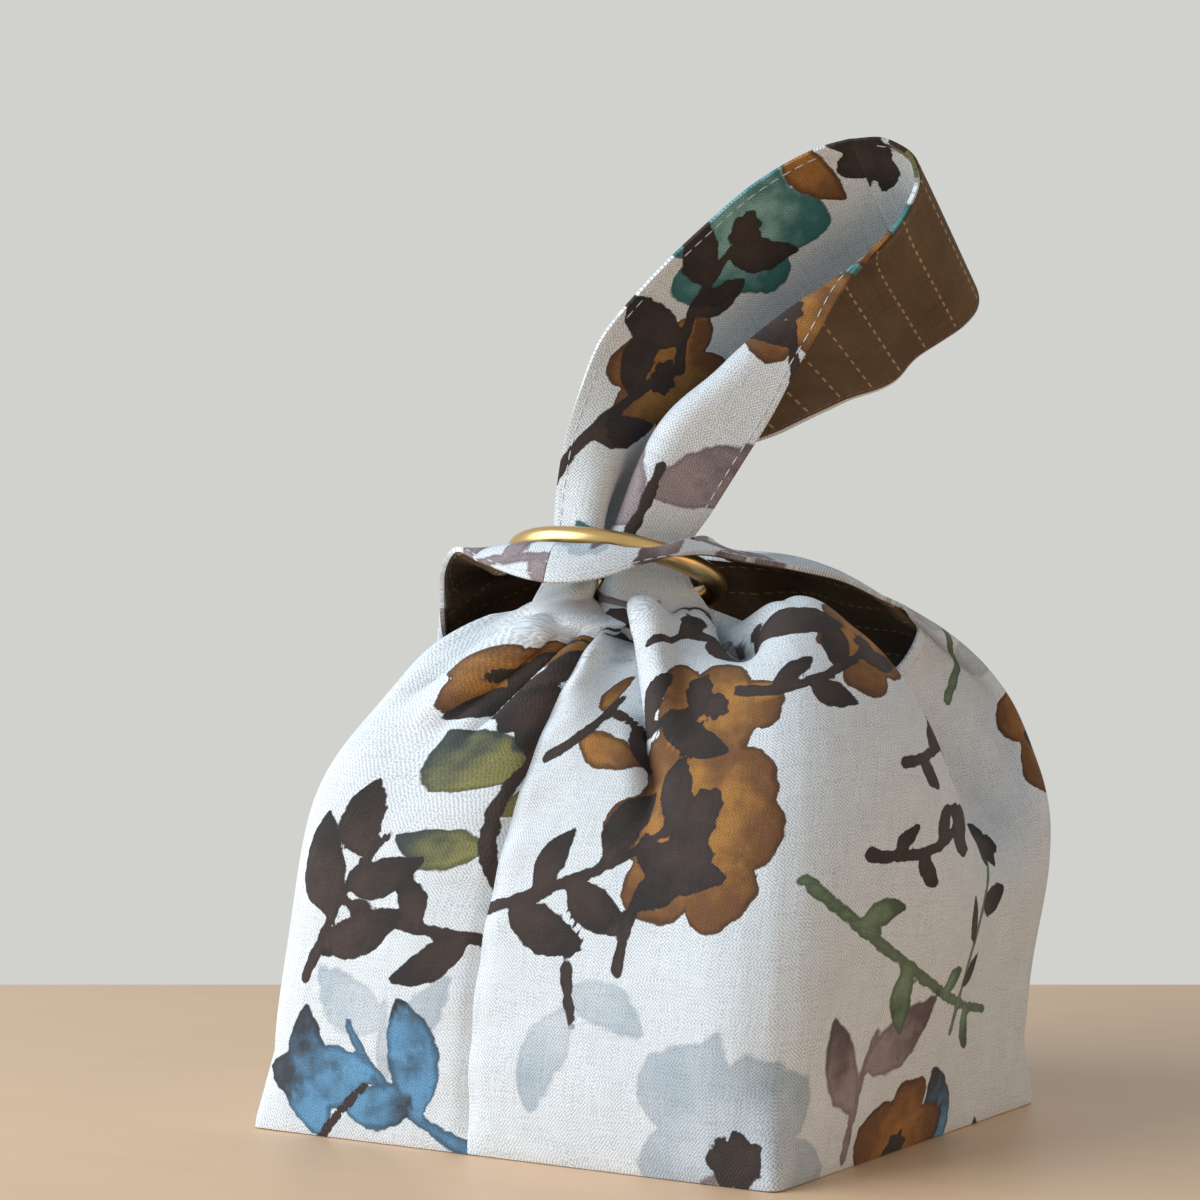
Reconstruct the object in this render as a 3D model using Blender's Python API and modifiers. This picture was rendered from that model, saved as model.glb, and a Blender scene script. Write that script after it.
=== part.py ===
"""Dumpling bag: two cloth halves with their linings, each one piece with its two strap halves, and the neck ring."""

import math

import bpy
import numpy as np
from mathutils import Vector

# Driving sizes, in mm.
BASE_X = 65.0            # half the base, side to side
BASE_Y = 60.0            # half the base, front to back
SEAM_FOOT_X = -8.0       # where the near side seam meets the table
STRAP_WIDTH = 40.0       # long handle strap, edge to edge
OUTER_CLOTH = 0.8        # outer cloth with its interfacing
LINING_CLOTH = 0.5
PIECE_GAP = 0.3          # clear space between two pieces that touch in the real bag
RING_OUTER = 50.0        # ring across its outside
RING_WIRE = 5.0          # ring section

# The guide points below are (across, away, up) in mm from the middle of the base, seen from
# the side the bag shows best. One turn about the upright axis sets them into the bag's own axes.
VIEW_TURN = math.radians(32.5)

# Each half pattern is numbered across from the near side seam (0) to the far side seam (1).
# The long strap grows from the first part, the mouth curve lies between, then the short strap.
LONG_STRAP_END = 0.20
SHORT_STRAP_START = 0.80

NEAR_NOTCH = (-11.5, -29.0, 109.3)     # top of the near side seam, under the long handle
FAR_NOTCH = (11.0, 29.0, 125.0)        # top of the far side seam, under the short strap

RING_CENTRE = (-7.9, 0.0, 122.2)
RING_LEAN = (0.194, 0.259, 1.0)        # the ring's axis: its right side hangs low, its near side is up


class Half:
    """The shape of one half of the bag: edges, turns of the strap and folds of its wall."""


right = Half()
right.side = 1
# neckline edge of the right leg of the long handle, from the neck to the joint at the top
right.long_edge = [(11.5, -9.5, 113.5), (7.6, -8.5, 120.5), (8.0, -8, 127.5), (12.8, -9.5, 135), (19.5, -12, 145.5),
                   (26, -13, 156), (31, -13.5, 165.5), (35.9, -14, 173.5), (40.8, -14, 182.2), (47.2, -13.5, 190.4),
                   (55.5, -12.5, 201), (58.0, -12, 208), (56.5, -12, 213.0), (50.9, -12, 216.6), (43, -12, 216.5)]
# station up the leg; the cloth's heading at its neckline edge, in its turn and at its armhole edge;
# then where across the strap the turn sits and half its width
right.turns = [(0.00, (-0.60, -0.75, -0.05), (-0.75, -0.62, -0.1), (-0.8, -0.6, -0.1), 0.66, 0.15),
               (0.03, (-0.80, -0.58, 0.0), (-0.6, 0.6, 0.0), (0.2, 1.0, 0.0), 0.63, 0.14),
               (0.06, (-0.87, -0.48, 0.0), (-0.3, 0.95, 0.0), (0.5, 0.85, 0.0), 0.54, 0.17),
               (0.13, (-0.93, -0.35, 0.0), (-0.1, 1.0, 0.0), (1.0, 0.05, 0.0), 0.53, 0.19),
               (0.28, (-0.84, -0.20, 0.5), (-0.1, 1.0, 0.0), (0.8, 0.1, -0.6), 0.55, 0.20),
               (0.42, (-0.85, -0.15, 0.5), (0.0, 0.95, -0.3), (0.75, 0.15, -0.65), 0.44, 0.22),
               (0.53, (-0.80, 0.0, 0.55), (0.1, 0.9, -0.4), (0.62, 0.45, -0.64), 0.31, 0.20),
               (0.64, (-0.50, 0.4, 0.3), (0.35, 0.8, -0.5), (0.47, 0.65, -0.59), 0.18, 0.18),
               (0.74, (0.15, 0.70, -0.4), (0.41, 0.74, -0.52), (0.42, 0.74, -0.52), 0.3, 0.3),
               (0.84, (0.41, 0.66, -0.62), (0.41, 0.66, -0.62), (0.41, 0.66, -0.62), 0.3, 0.3),
               (1.00, (0.39, 0.62, -0.68), (0.39, 0.62, -0.68), (0.39, 0.62, -0.68), 0.3, 0.3)]
# mouth curve: from the long strap down into the right mouth and up on to the hood
right.mouth = [(11.5, -9.5, 113.5), (24, -6, 108), (38, 0, 101), (48, 7, 97.5), (53, 12, 98), (59.5, 19, 103.6),
               (61.5, 21, 108.2), (58.6, 18, 112.4), (51, 13, 116.3)]
# short strap: neckline edge, armhole edge and the rise between them, from the hood to the joint
right.short_edge = [(51, 13, 116.3), (44.9, 8, 119.1), (32.9, -2, 122.0), (21.2, -12, 123.9), (9.9, -22, 125.5),
                    (4.5, -26.5, 124.9), (-3.2, -30, 123.0), (-11.7, -33, 120.2), (-20.2, -33, 119.1),
                    (-23.5, -32, 119.2)]
right.short_inner = [FAR_NOTCH, (18, 22, 124.5), (16.5, 9, 126), (14.5, -3, 127.3), (9.8, -14.5, 128.6),
                     (4.2, -24.6, 127.2), (-4.2, -25.5, 122.8), (-10, -23.5, 122.5), (-16, -22.5, 122.5),
                     (-18.5, -22, 122.5)]
right.short_rise = [(2, 3, 4), (0, 1, 3), (0, 0, 1.5), (0, 0, 0.8), (0, 0, 0.3), (0, 0, 0.6), (0, 0, 3.0), (0, 0, 5.4),
                    (0, 0, 6.0), (0, 0, 6.2)]
# wall columns: place across, rise and outward swell above the base, then the run into the top edge
right.columns = [(0.00, 45, 5, (14, 12, 16)), (0.10, 50, 8, (4, 16, -4)), (0.20, 55, 9, (-4, 18, -14)),
                 (0.26, 60, 11, (-10, 28, -24)), (0.33, 62, 10, (-14, 32, -30)), (0.41, 60, 20, (-24, 30, -14)),
                 (0.49, 55, 20, (-30, 8, 22)), (0.60, 50, 9, (-18, -8, 34)), (0.70, 55, 14, (-34, -18, 24)),
                 (0.80, 60, 14, (-36, -34, 14)), (0.90, 60, 10, (-12, -40, 20)), (1.00, 60, 12, (-4, -28, 26))]
# folds of the wall: height out of the cloth, half width, then its line as (place across, place up) pairs
right.folds = [(-3.2, 0.020, [(0.030, 1.0), (0.055, 0.8), (0.10, 0.6), (0.11, 0.5)]),
               (1.6, 0.020, [(0.005, 1.0), (0.020, 0.8), (0.05, 0.6), (0.06, 0.5)]),
               (1.5, 0.050, [(0.44, 1.0), (0.50, 0.75), (0.55, 0.5), (0.58, 0.35)]),
               (-3.5, 0.045, [(0.53, 1.0), (0.59, 0.75), (0.64, 0.5), (0.67, 0.35)]),
               (-2.2, 0.018, [(0.12, 1.0), (0.14, 0.85), (0.155, 0.75)]),
               (-12.0, 0.036, [(0.228, 1.0), (0.228, 0.8), (0.232, 0.6)]),
               (1.8, 0.035, [(0.335, 1.0), (0.340, 0.8), (0.345, 0.6)]),
               (2.6, 0.030, [(0.085, 1.0), (0.100, 0.85), (0.125, 0.66)]),
               (-2.0, 0.030, [(0.86, 1.0), (0.85, 0.8), (0.84, 0.6)])]

left = Half()
left.side = -1
left.long_edge = [(-26, -13, 114.5), (-23, -11, 121), (-21.6, -10, 130.5), (-21.0, -11, 139.3), (-19.4, -12, 150.5),
                  (-16.1, -12, 161.5), (-11.7, -12, 172.5), (-2.9, -12, 183.5), (10.3, -12, 196.7),
                  (23.5, -12, 207.7), (38, -12, 215.2), (43, -12, 216.5)]
left.turns = [(0.00, (0.20, -0.98, 0.0), (0.67, -0.74, 0.0), (0.95, -0.30, 0.0), 0.50, 0.40),
              (0.03, (0.56, -0.83, 0.0), (0.45, 0.65, 0.0), (-0.03, 1.0, 0.0), 0.48, 0.16),
              (0.06, (0.65, -0.76, 0.0), (0.30, 0.90, 0.0), (0.05, 1.0, 0.0), 0.36, 0.22),
              (0.13, (0.80, -0.60, 0.0), (-0.15, 1.0, 0.0), (0.95, 0.3, 0.0), 0.38, 0.26),
              (0.30, (0.85, 0.0, -0.1), (0.55, 0.80, -0.1), (0.9, 0.4, -0.15), 0.40, 0.30),
              (0.50, (0.62, 0.50, -0.3), (0.68, 0.62, -0.35), (0.7, 0.6, -0.4), 0.40, 0.30),
              (0.70, (0.45, 0.60, -0.60), (0.48, 0.62, -0.6), (0.5, 0.6, -0.6), 0.3, 0.3),
              (0.85, (0.39, 0.62, -0.68), (0.39, 0.62, -0.68), (0.39, 0.62, -0.68), 0.3, 0.3),
              (1.00, (0.39, 0.62, -0.68), (0.39, 0.62, -0.68), (0.39, 0.62, -0.68), 0.3, 0.3)]
left.mouth = [(-26, -13, 114.5), (-32, -4, 108), (-38, 6, 101), (-42, 14, 97.5), (-44, 16, 99), (-46.5, 13, 105),
              (-47.0, 7, 110.5), (-47, 4, 113.5)]
left.short_edge = [(-47, 4, 113.5), (-46.9, 1, 117.5), (-46.5, -2.5, 121.5), (-44.0, -8, 126), (-37.8, -18, 123.7),
                   (-28.8, -28, 120.4), (-23.5, -32, 119.2)]
left.short_inner = [FAR_NOTCH, (-6, 31, 121.5), (-23, 24, 122.5), (-33.5, 5, 121.0), (-28.5, -11, 122.5),
                    (-22, -19.5, 122.5), (-18.5, -22, 122.5)]
left.short_rise = [(-4, 13, 3), (-6, 9, 2), (-5, 3, 1), (-2, 0, 1), (0, 0, 3.4), (0, 0, 5.8), (0, 0, 6.2)]
left.columns = [(0.00, 45, 5, (14, 12, 16)), (0.10, 50, 8, (14, 14, 16)), (0.20, 50, 5, (20, 20, 8)),
                (0.26, 52, 5.5, (27, 22, -2)), (0.33, 55, 6, (24, 14, -6)), (0.42, 55, 6, (20, 6, 2)),
                (0.50, 50, 6, (10, 0, 30)), (0.60, 50, 6, (8, -14, 34)), (0.70, 55, 8, (10, -34, 24)),
                (0.80, 60, 8, (6, -44, 8)), (0.90, 60, 9, (4, -44, 16)), (1.00, 60, 12, (-4, -28, 26))]
left.folds = [(3.0, 0.034, [(0.10, 1.0), (0.17, 0.82), (0.24, 0.66), (0.27, 0.58)]),
              (-2.6, 0.024, [(0.055, 1.0), (0.10, 0.82), (0.15, 0.66), (0.17, 0.55)]),
              (2.5, 0.050, [(0.42, 1.0), (0.45, 0.75), (0.48, 0.5)]),
              (-4.5, 0.040, [(0.50, 1.0), (0.54, 0.75), (0.57, 0.5), (0.58, 0.35)]),
              (-2.0, 0.030, [(0.86, 1.0), (0.85, 0.8), (0.84, 0.6)])]


def smooth(keys, values, place):
    """Smooth curve through the values at the keys, read at each place."""
    keys = np.asarray(keys, float)
    values = np.asarray(values, float).reshape(len(keys), -1)
    place = np.atleast_1d(np.asarray(place, float))
    gaps = np.diff(keys)
    slopes = np.diff(values, axis=0) / gaps[:, None]
    inner = (slopes[:-1] * gaps[1:, None] + slopes[1:] * gaps[:-1, None]) / (keys[2:] - keys[:-2])[:, None]
    tangents = np.vstack([slopes[:1], inner, slopes[-1:]])
    i = np.clip(np.searchsorted(keys, place) - 1, 0, len(keys) - 2)
    span = gaps[i][:, None]
    s = np.clip((place - keys[i])[:, None] / span, 0, 1)
    near = values[i] * (1 + 2 * s) * (1 - s) ** 2 + tangents[i] * span * s * (1 - s) ** 2
    far = values[i + 1] * s * s * (3 - 2 * s) - tangents[i + 1] * span * s * s * (1 - s)
    return near + far


def lengths(points):
    """Running length along the points, from 0 to 1."""
    steps = np.linalg.norm(np.diff(np.asarray(points, float), axis=0), axis=1)
    run = np.concatenate([[0], np.cumsum(steps)])
    return run / run[-1]


def along(points, place):
    return smooth(lengths(points), points, place)


def unit(v):
    return v / np.linalg.norm(v, axis=-1, keepdims=True)


def turned(p, angle):
    """The points turned about the upright axis."""
    x, y = p[..., 0], p[..., 1]
    return np.stack([x * math.cos(angle) - y * math.sin(angle), x * math.sin(angle) + y * math.cos(angle), p[..., 2]], -1)


def long_section(half, station, t):
    """The long strap cut across at a station; t runs from neckline edge (0) to armhole edge (1)."""
    keys = [row[0] for row in half.turns]
    start, middle, end = (unit(smooth(keys, [row[i] for row in half.turns], station)[0]) for i in (1, 2, 3))
    centre, reach = smooth(keys, [row[4:6] for row in half.turns], station)[0]
    q = np.linspace(0, 1, 61)[:, None]
    into = np.clip((q - centre + reach) / reach, 0, 1)
    out_of = np.clip((q - centre) / reach, 0, 1)
    heading = unit(start * (1 - into) + middle * (into - out_of) + end * out_of)
    walk = np.cumsum(0.5 * (heading[1:] + heading[:-1]) * STRAP_WIDTH / 60, axis=0)
    walk = np.vstack([[0, 0, 0], walk])
    edge = along(half.long_edge, station)[0]
    return edge + np.stack([np.interp(t, q[:, 0], walk[:, i]) for i in range(3)], -1)


def long_row(half, station, across):
    """One row of the long strap. Near the neck its armhole edge is drawn to the notch."""
    t = 1 - np.asarray(across) / LONG_STRAP_END
    miss = np.asarray(NEAR_NOTCH) - long_section(half, 0.0, np.array([1.0]))[0]
    hold = max(0.0, 1 - station / 0.12) ** 2
    return long_section(half, station, t) + t[:, None] * miss * hold


def short_row(half, station, across):
    """One row of the short strap, between its two edges."""
    t = ((np.asarray(across) - SHORT_STRAP_START) / (1 - SHORT_STRAP_START))[:, None]
    keys = lengths(half.short_edge)
    edge = smooth(keys, half.short_edge, station)[0]
    inner = smooth(keys, half.short_inner, station)[0]
    rise = smooth(keys, half.short_rise, station)[0]
    return edge + t * (inner - edge) + 4 * t * (1 - t) * rise


def top_line(half, across):
    """Top edge of the wall: foot of the long strap, mouth curve, foot of the short strap."""
    out = np.zeros((len(across), 3))
    near = across <= LONG_STRAP_END
    far = across >= SHORT_STRAP_START
    mouth = ~near & ~far
    out[near] = long_row(half, 0.0, across[near])
    out[far] = short_row(half, 0.0, across[far])
    out[mouth] = along(half.mouth, (across[mouth] - LONG_STRAP_END) / (SHORT_STRAP_START - LONG_STRAP_END))
    return out


def base_line(half, across):
    """Base edge of one half, from the near seam round two corners to the far seam, and the way out from it."""
    corner_near = 0.26
    corner_far = 1 - corner_near
    x = np.interp(across, [0, corner_near, corner_far, 1], [SEAM_FOOT_X, half.side * BASE_X, half.side * BASE_X, 0])
    y = np.interp(across, [0, corner_near, corner_far, 1], [-BASE_Y, -BASE_Y, BASE_Y, BASE_Y])
    angle = np.interp(across, [0, 0.16, 0.26, 0.36, 0.64, 0.74, 0.84, 1], [-90, -90, -45, 0, 0, 45, 90, 90])
    angle = np.radians(angle)
    out = np.stack([half.side * np.cos(angle), np.sin(angle), 0 * angle], -1)
    return np.stack([x, y, np.full(len(x), OUTER_CLOTH)], -1), out


def rounded_base(half, across, reach):
    """The base edge with its corners rounded over a reach to both sides."""
    free = np.minimum(reach, np.minimum(across, 1 - across))
    return sum(base_line(half, across + k * free)[0] for k in (-1, -0.5, 0, 0.5, 1)) / 5


def plain_wall(half, across, up):
    """The wall without its folds: each column is one curve from the base edge to the top line."""
    _, out = base_line(half, across)
    base = turned(rounded_base(half, across, 0.006), -VIEW_TURN)
    soft = turned(rounded_base(half, across, 0.055), -VIEW_TURN)
    out = turned(out, -VIEW_TURN)
    top = top_line(half, across)
    keys = [row[0] for row in half.columns]
    rise, swell = smooth(keys, [row[1:3] for row in half.columns], across).T[:, :, None]
    run = smooth(keys, [row[3] for row in half.columns], across)
    low = soft + out * swell + np.array([0, 0, 1.0]) * rise
    high = top - run
    v = np.broadcast_to(np.asarray(up, float), (len(base),))[:, None]
    return (1 - v) ** 3 * base + 3 * v * (1 - v) ** 2 * low + 3 * v * v * (1 - v) * high + v ** 3 * top


def wall(half, across, up):
    """The wall with its folds pushed in or out along the cloth's own face."""
    across = np.asarray(across, float)
    up = np.broadcast_to(np.asarray(up, float), across.shape)
    here = plain_wall(half, across, up)
    d = 0.004
    side = plain_wall(half, np.clip(across + d, 0, 1), up) - plain_wall(half, np.clip(across - d, 0, 1), up)
    rise = plain_wall(half, across, np.clip(up + d, 0, 1)) - plain_wall(half, across, np.clip(up - d, 0, 1))
    face = unit(np.cross(side, rise)) * half.side
    push = np.zeros(len(across))
    for height, width, line in half.folds:
        ups = [p[1] for p in line][::-1]
        places = [p[0] for p in line][::-1]
        centre = np.interp(up, ups, places)
        fade = np.clip((up - ups[0]) / 0.25, 0, 1)
        fade = fade * fade * (3 - 2 * fade)
        ease = np.clip((1 - up) / 0.10, 0, 1) ** 0.5
        push += height * np.exp(-((across - centre) / width) ** 2) * fade * ease
    seam_hold = np.clip(np.minimum(across, 1 - across) / 0.02, 0, 1)
    return here + face * (push * seam_hold)[:, None]


MM = 0.001
SEAM_GAP = 0.6           # side seams: the groove between the two halves, wide enough where the wall dips
LONG_COLUMNS = 7
MOUTH_COLUMNS = 11
SHORT_COLUMNS = 7
BASE_ROWS = 2
WALL_ROWS = 13
LONG_ROWS = 22
SHORT_ROWS = 13


def clear_scene():
    for old in list(bpy.data.objects):
        bpy.data.objects.remove(old, do_unlink=True)
    for old in list(bpy.data.collections):
        bpy.data.collections.remove(old)


def make_material(name, colour, roughness, metallic):
    material = bpy.data.materials.new(name)
    material.use_nodes = True
    shader = material.node_tree.nodes["Principled BSDF"]
    shader.inputs["Base Color"].default_value = (*colour, 1.0)
    shader.inputs["Roughness"].default_value = roughness
    shader.inputs["Metallic"].default_value = metallic
    return material


def column_places():
    """Where the columns stand across one half pattern."""
    near = np.linspace(0, LONG_STRAP_END, LONG_COLUMNS + 1)
    mouth = np.linspace(LONG_STRAP_END, SHORT_STRAP_START, MOUTH_COLUMNS + 1)
    far = np.linspace(SHORT_STRAP_START, 1, SHORT_COLUMNS + 1)
    return np.concatenate([near, mouth[1:], far[1:]])


def pull_back(points, inward, gap=PIECE_GAP):
    """Draws edge points into their own piece by a little over half of the gap."""
    return points + unit(inward - points) * gap * 0.55


def half_sheet(half):
    """Points and faces of one half of the cloth, in the bag's axes and mm."""
    across = column_places()
    columns = len(across)
    rows = []
    base, _ = base_line(half, across)
    base = turned(base, -VIEW_TURN)
    seam_middle = np.array([SEAM_FOOT_X / 2, 0, OUTER_CLOTH])
    middle = turned(seam_middle, -VIEW_TURN)
    for k in range(1, BASE_ROWS):
        rows.append(middle + (base - middle) * k / BASE_ROWS)
    for k in range(WALL_ROWS + 1):
        rows.append(wall(half, across, k / WALL_ROWS))
    long_rows = [long_row(half, k / LONG_ROWS, across[:LONG_COLUMNS + 1]) for k in range(1, LONG_ROWS + 1)]
    short_rows = [short_row(half, k / SHORT_ROWS, across[-SHORT_COLUMNS - 1:]) for k in range(1, SHORT_ROWS + 1)]
    # the half stops short of its seams, so that the two halves stay clear of each other
    for row in rows:
        row[0] = pull_back(row[0], row[1], SEAM_GAP)
        row[-1] = pull_back(row[-1], row[-2], SEAM_GAP)
    long_rows[-1] = pull_back(long_rows[-1], long_rows[-2])
    short_rows[-1] = pull_back(short_rows[-1], short_rows[-2])
    points = [turned(seam_middle + np.array([half.side * SEAM_GAP * 0.55, 0, 0]), -VIEW_TURN)]
    faces = []
    grid = []
    for row in rows:
        grid.append(range(len(points), len(points) + columns))
        points.extend(row)
    for j in range(columns - 1):
        faces.append((0, grid[0][j + 1], grid[0][j]))
    for i in range(len(grid) - 1):
        for j in range(columns - 1):
            faces.append((grid[i][j], grid[i][j + 1], grid[i + 1][j + 1], grid[i + 1][j]))
    below = list(grid[-1][:LONG_COLUMNS + 1])
    for row in long_rows:
        here = range(len(points), len(points) + len(row))
        points.extend(row)
        faces.extend((below[j], below[j + 1], here[j + 1], here[j]) for j in range(len(row) - 1))
        below = here
    below = list(grid[-1][-SHORT_COLUMNS - 1:])
    for row in short_rows:
        here = range(len(points), len(points) + len(row))
        points.extend(row)
        faces.extend((below[j], below[j + 1], here[j + 1], here[j]) for j in range(len(row) - 1))
        below = here
    if half.side < 0:
        faces = [face[::-1] for face in faces]
    return turned(np.array(points), VIEW_TURN), faces


def add_cloth(name, half, thickness, offset, material, collection):
    """One panel: the open sheet given its thickness by a Solidify modifier."""
    points, faces = half_sheet(half)
    mesh = bpy.data.meshes.new(name)
    mesh.from_pydata([tuple(p * MM) for p in points], [], [tuple(face) for face in faces])
    mesh.materials.append(material)
    mesh.shade_smooth()
    obj = bpy.data.objects.new(name, mesh)
    collection.objects.link(obj)
    solid = obj.modifiers.new("cloth thickness", "SOLIDIFY")
    solid.thickness = thickness * MM
    solid.offset = offset
    solid.use_even_offset = False
    solid.use_quality_normals = True
    solid.use_rim = True
    return obj


def add_ring(material, collection):
    """The ring: a round wire bent to a circle about its own leaning axis."""
    bpy.ops.mesh.primitive_torus_add(major_radius=(RING_OUTER - RING_WIRE) / 2 * MM, minor_radius=RING_WIRE / 2 * MM,
                                     major_segments=40, minor_segments=10)
    ring = bpy.context.object
    ring.name = "neck_ring"
    ring.data.name = "neck_ring"
    ring.location = Vector(turned(np.array(RING_CENTRE), VIEW_TURN) * MM)
    lean = Vector(turned(np.array(RING_LEAN), VIEW_TURN))
    ring.rotation_mode = "QUATERNION"
    ring.rotation_quaternion = lean.to_track_quat("Z", "Y")
    ring.data.materials.append(material)
    ring.data.shade_smooth()
    for holder in list(ring.users_collection):
        holder.objects.unlink(ring)
    collection.objects.link(ring)
    return ring


clear_scene()
bag = bpy.data.collections.new("dumpling_bag")
bpy.context.scene.collection.children.link(bag)
outer_material = make_material("printed_linen", (0.78, 0.80, 0.82), 0.85, 0.0)
lining_material = make_material("brown_lining", (0.17, 0.115, 0.075), 0.8, 0.0)
ring_material = make_material("satin_brass", (0.75, 0.55, 0.26), 0.32, 1.0)
lining_offset = -1 - 2 * PIECE_GAP / LINING_CLOTH
for half, word in ((right, "right"), (left, "left")):
    add_cloth("outer_panel_" + word, half, OUTER_CLOTH, 1.0, outer_material, bag)
    add_cloth("lining_panel_" + word, half, LINING_CLOTH, lining_offset, lining_material, bag)
add_ring(ring_material, bag)
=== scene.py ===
# %% [markdown]
# A dumpling bag is a small boxed cloth bag. Two mirrored halves are sewn together at the front and
# the back, and each half grows into one long and one short strap. The long straps meet in a handle
# that is drawn up through a metal ring, and the short straps meet in a loop that wraps the neck.
# Here the bag is dressed in Blender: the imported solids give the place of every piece, and finer
# cloth, stitches and printed colours are laid over them.

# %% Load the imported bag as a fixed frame
import math

import bmesh
import bpy
import numpy as np
from mathutils import Matrix, Vector


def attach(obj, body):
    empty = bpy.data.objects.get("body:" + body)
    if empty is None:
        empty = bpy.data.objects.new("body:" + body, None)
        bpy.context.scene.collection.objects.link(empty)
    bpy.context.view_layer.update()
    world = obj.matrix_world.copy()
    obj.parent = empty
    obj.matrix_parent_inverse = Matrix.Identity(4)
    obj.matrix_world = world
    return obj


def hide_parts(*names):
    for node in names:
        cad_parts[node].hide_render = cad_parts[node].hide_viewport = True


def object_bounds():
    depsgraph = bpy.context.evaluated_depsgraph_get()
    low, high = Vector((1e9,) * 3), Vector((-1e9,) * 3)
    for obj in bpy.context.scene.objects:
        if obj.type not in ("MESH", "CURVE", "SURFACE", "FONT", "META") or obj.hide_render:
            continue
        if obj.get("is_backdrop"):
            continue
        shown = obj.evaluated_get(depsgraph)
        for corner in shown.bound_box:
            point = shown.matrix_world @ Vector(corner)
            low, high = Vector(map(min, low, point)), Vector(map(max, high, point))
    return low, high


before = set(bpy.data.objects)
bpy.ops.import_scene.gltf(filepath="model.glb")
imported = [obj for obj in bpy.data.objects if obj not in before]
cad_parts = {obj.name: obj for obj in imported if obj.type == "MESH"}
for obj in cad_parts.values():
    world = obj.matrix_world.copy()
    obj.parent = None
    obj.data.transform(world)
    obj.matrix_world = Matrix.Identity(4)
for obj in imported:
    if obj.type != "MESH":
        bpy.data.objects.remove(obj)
solid_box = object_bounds()
MM = 0.001

# %% [markdown]
# The sizes are the ones the bag was cut to, in mm. The cloth is one surface for each half. The
# outer cloth lies on its outside and the lining on its inside, as two layers sewn at their edges.
# A pattern cutter thinks of each half as a flat shape with a place across and a place up, so every
# fold and edge below is given in those two numbers.

# %% Sizes and guide points, in mm
BASE_X = 65.0            # half the base, side to side
BASE_Y = 60.0            # half the base, front to back
SEAM_FOOT_X = -8.0       # where the near side seam meets the table
STRAP_WIDTH = 40.0       # long handle strap, edge to edge
OUTER_CLOTH = 0.8        # outer cloth with its interfacing
RING_OUTER = 50.0        # ring across its outside
RING_WIRE = 5.0          # ring section

# The guide points below are (across, away, up) in mm from the middle of the base, seen from
# the side the bag shows best. One turn about the upright axis sets them into the bag's own axes.
VIEW_TURN = math.radians(32.5)

# Each half pattern is numbered across from the near side seam (0) to the far side seam (1).
# The long strap grows from the first part, the mouth curve lies between, then the short strap.
LONG_STRAP_END = 0.20
SHORT_STRAP_START = 0.80

NEAR_NOTCH = (-11.5, -29.0, 109.3)     # top of the near side seam, under the long handle
FAR_NOTCH = (11.0, 29.0, 125.0)        # top of the far side seam, under the short strap

RING_CENTRE = (-7.9, 0.0, 122.2)
RING_LEAN = (0.194, 0.259, 1.0)        # the ring's axis: its right side hangs low, its near side is up
print("base", 2 * BASE_X, "x", 2 * BASE_Y, "mm, strap", STRAP_WIDTH, "mm wide")


# %% The two halves: edges, strap rolls, wall columns and folds
class Half:
    """The shape of one half of the bag: edges, turns of the strap and folds of its wall."""


right = Half()
right.side = 1
# neckline edge of the right leg of the long handle, from the neck to the joint at the top
right.long_edge = [
    (11.5, -9.5, 113.5), (7.6, -8.5, 120.5), (8.0, -8, 127.5), (12.8, -9.5, 135), (19.5, -12, 145.5),
    (26, -13, 156), (31, -13.5, 165.5), (35.9, -14, 173.5), (40.8, -14, 182.2), (47.2, -13.5, 190.4),
    (55.5, -12.5, 201), (58.0, -12, 208), (56.5, -12, 213.0), (50.9, -12, 216.6), (43, -12, 216.5)]
# station up the leg; the cloth's heading at its neckline edge, in its turn and at its armhole edge;
# then where across the strap the turn sits and half its width
right.turns = [
    (0.00, (-0.60, -0.75, -0.05), (-0.75, -0.62, -0.1), (-0.8, -0.6, -0.1), 0.66, 0.15),
    (0.03, (-0.80, -0.58, 0.0), (-0.6, 0.6, 0.0), (0.2, 1.0, 0.0), 0.63, 0.14),
    (0.06, (-0.87, -0.48, 0.0), (-0.3, 0.95, 0.0), (0.5, 0.85, 0.0), 0.54, 0.17),
    (0.13, (-0.93, -0.35, 0.0), (-0.1, 1.0, 0.0), (1.0, 0.05, 0.0), 0.53, 0.19),
    (0.28, (-0.84, -0.20, 0.5), (-0.1, 1.0, 0.0), (0.8, 0.1, -0.6), 0.55, 0.20),
    (0.42, (-0.85, -0.15, 0.5), (0.0, 0.95, -0.3), (0.75, 0.15, -0.65), 0.44, 0.22),
    (0.53, (-0.80, 0.0, 0.55), (0.1, 0.9, -0.4), (0.62, 0.45, -0.64), 0.31, 0.20),
    (0.64, (-0.50, 0.4, 0.3), (0.35, 0.8, -0.5), (0.47, 0.65, -0.59), 0.18, 0.18),
    (0.74, (0.15, 0.70, -0.4), (0.41, 0.74, -0.52), (0.42, 0.74, -0.52), 0.3, 0.3),
    (0.84, (0.41, 0.66, -0.62), (0.41, 0.66, -0.62), (0.41, 0.66, -0.62), 0.3, 0.3),
    (1.00, (0.39, 0.62, -0.68), (0.39, 0.62, -0.68), (0.39, 0.62, -0.68), 0.3, 0.3)]
# mouth curve: from the long strap down into the right mouth and up on to the hood
right.mouth = [
    (11.5, -9.5, 113.5), (24, -6, 108), (38, 0, 101), (48, 7, 97.5), (53, 12, 98), (59.5, 19, 103.6),
    (61.5, 21, 108.2), (58.6, 18, 112.4), (51, 13, 116.3)]
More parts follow.
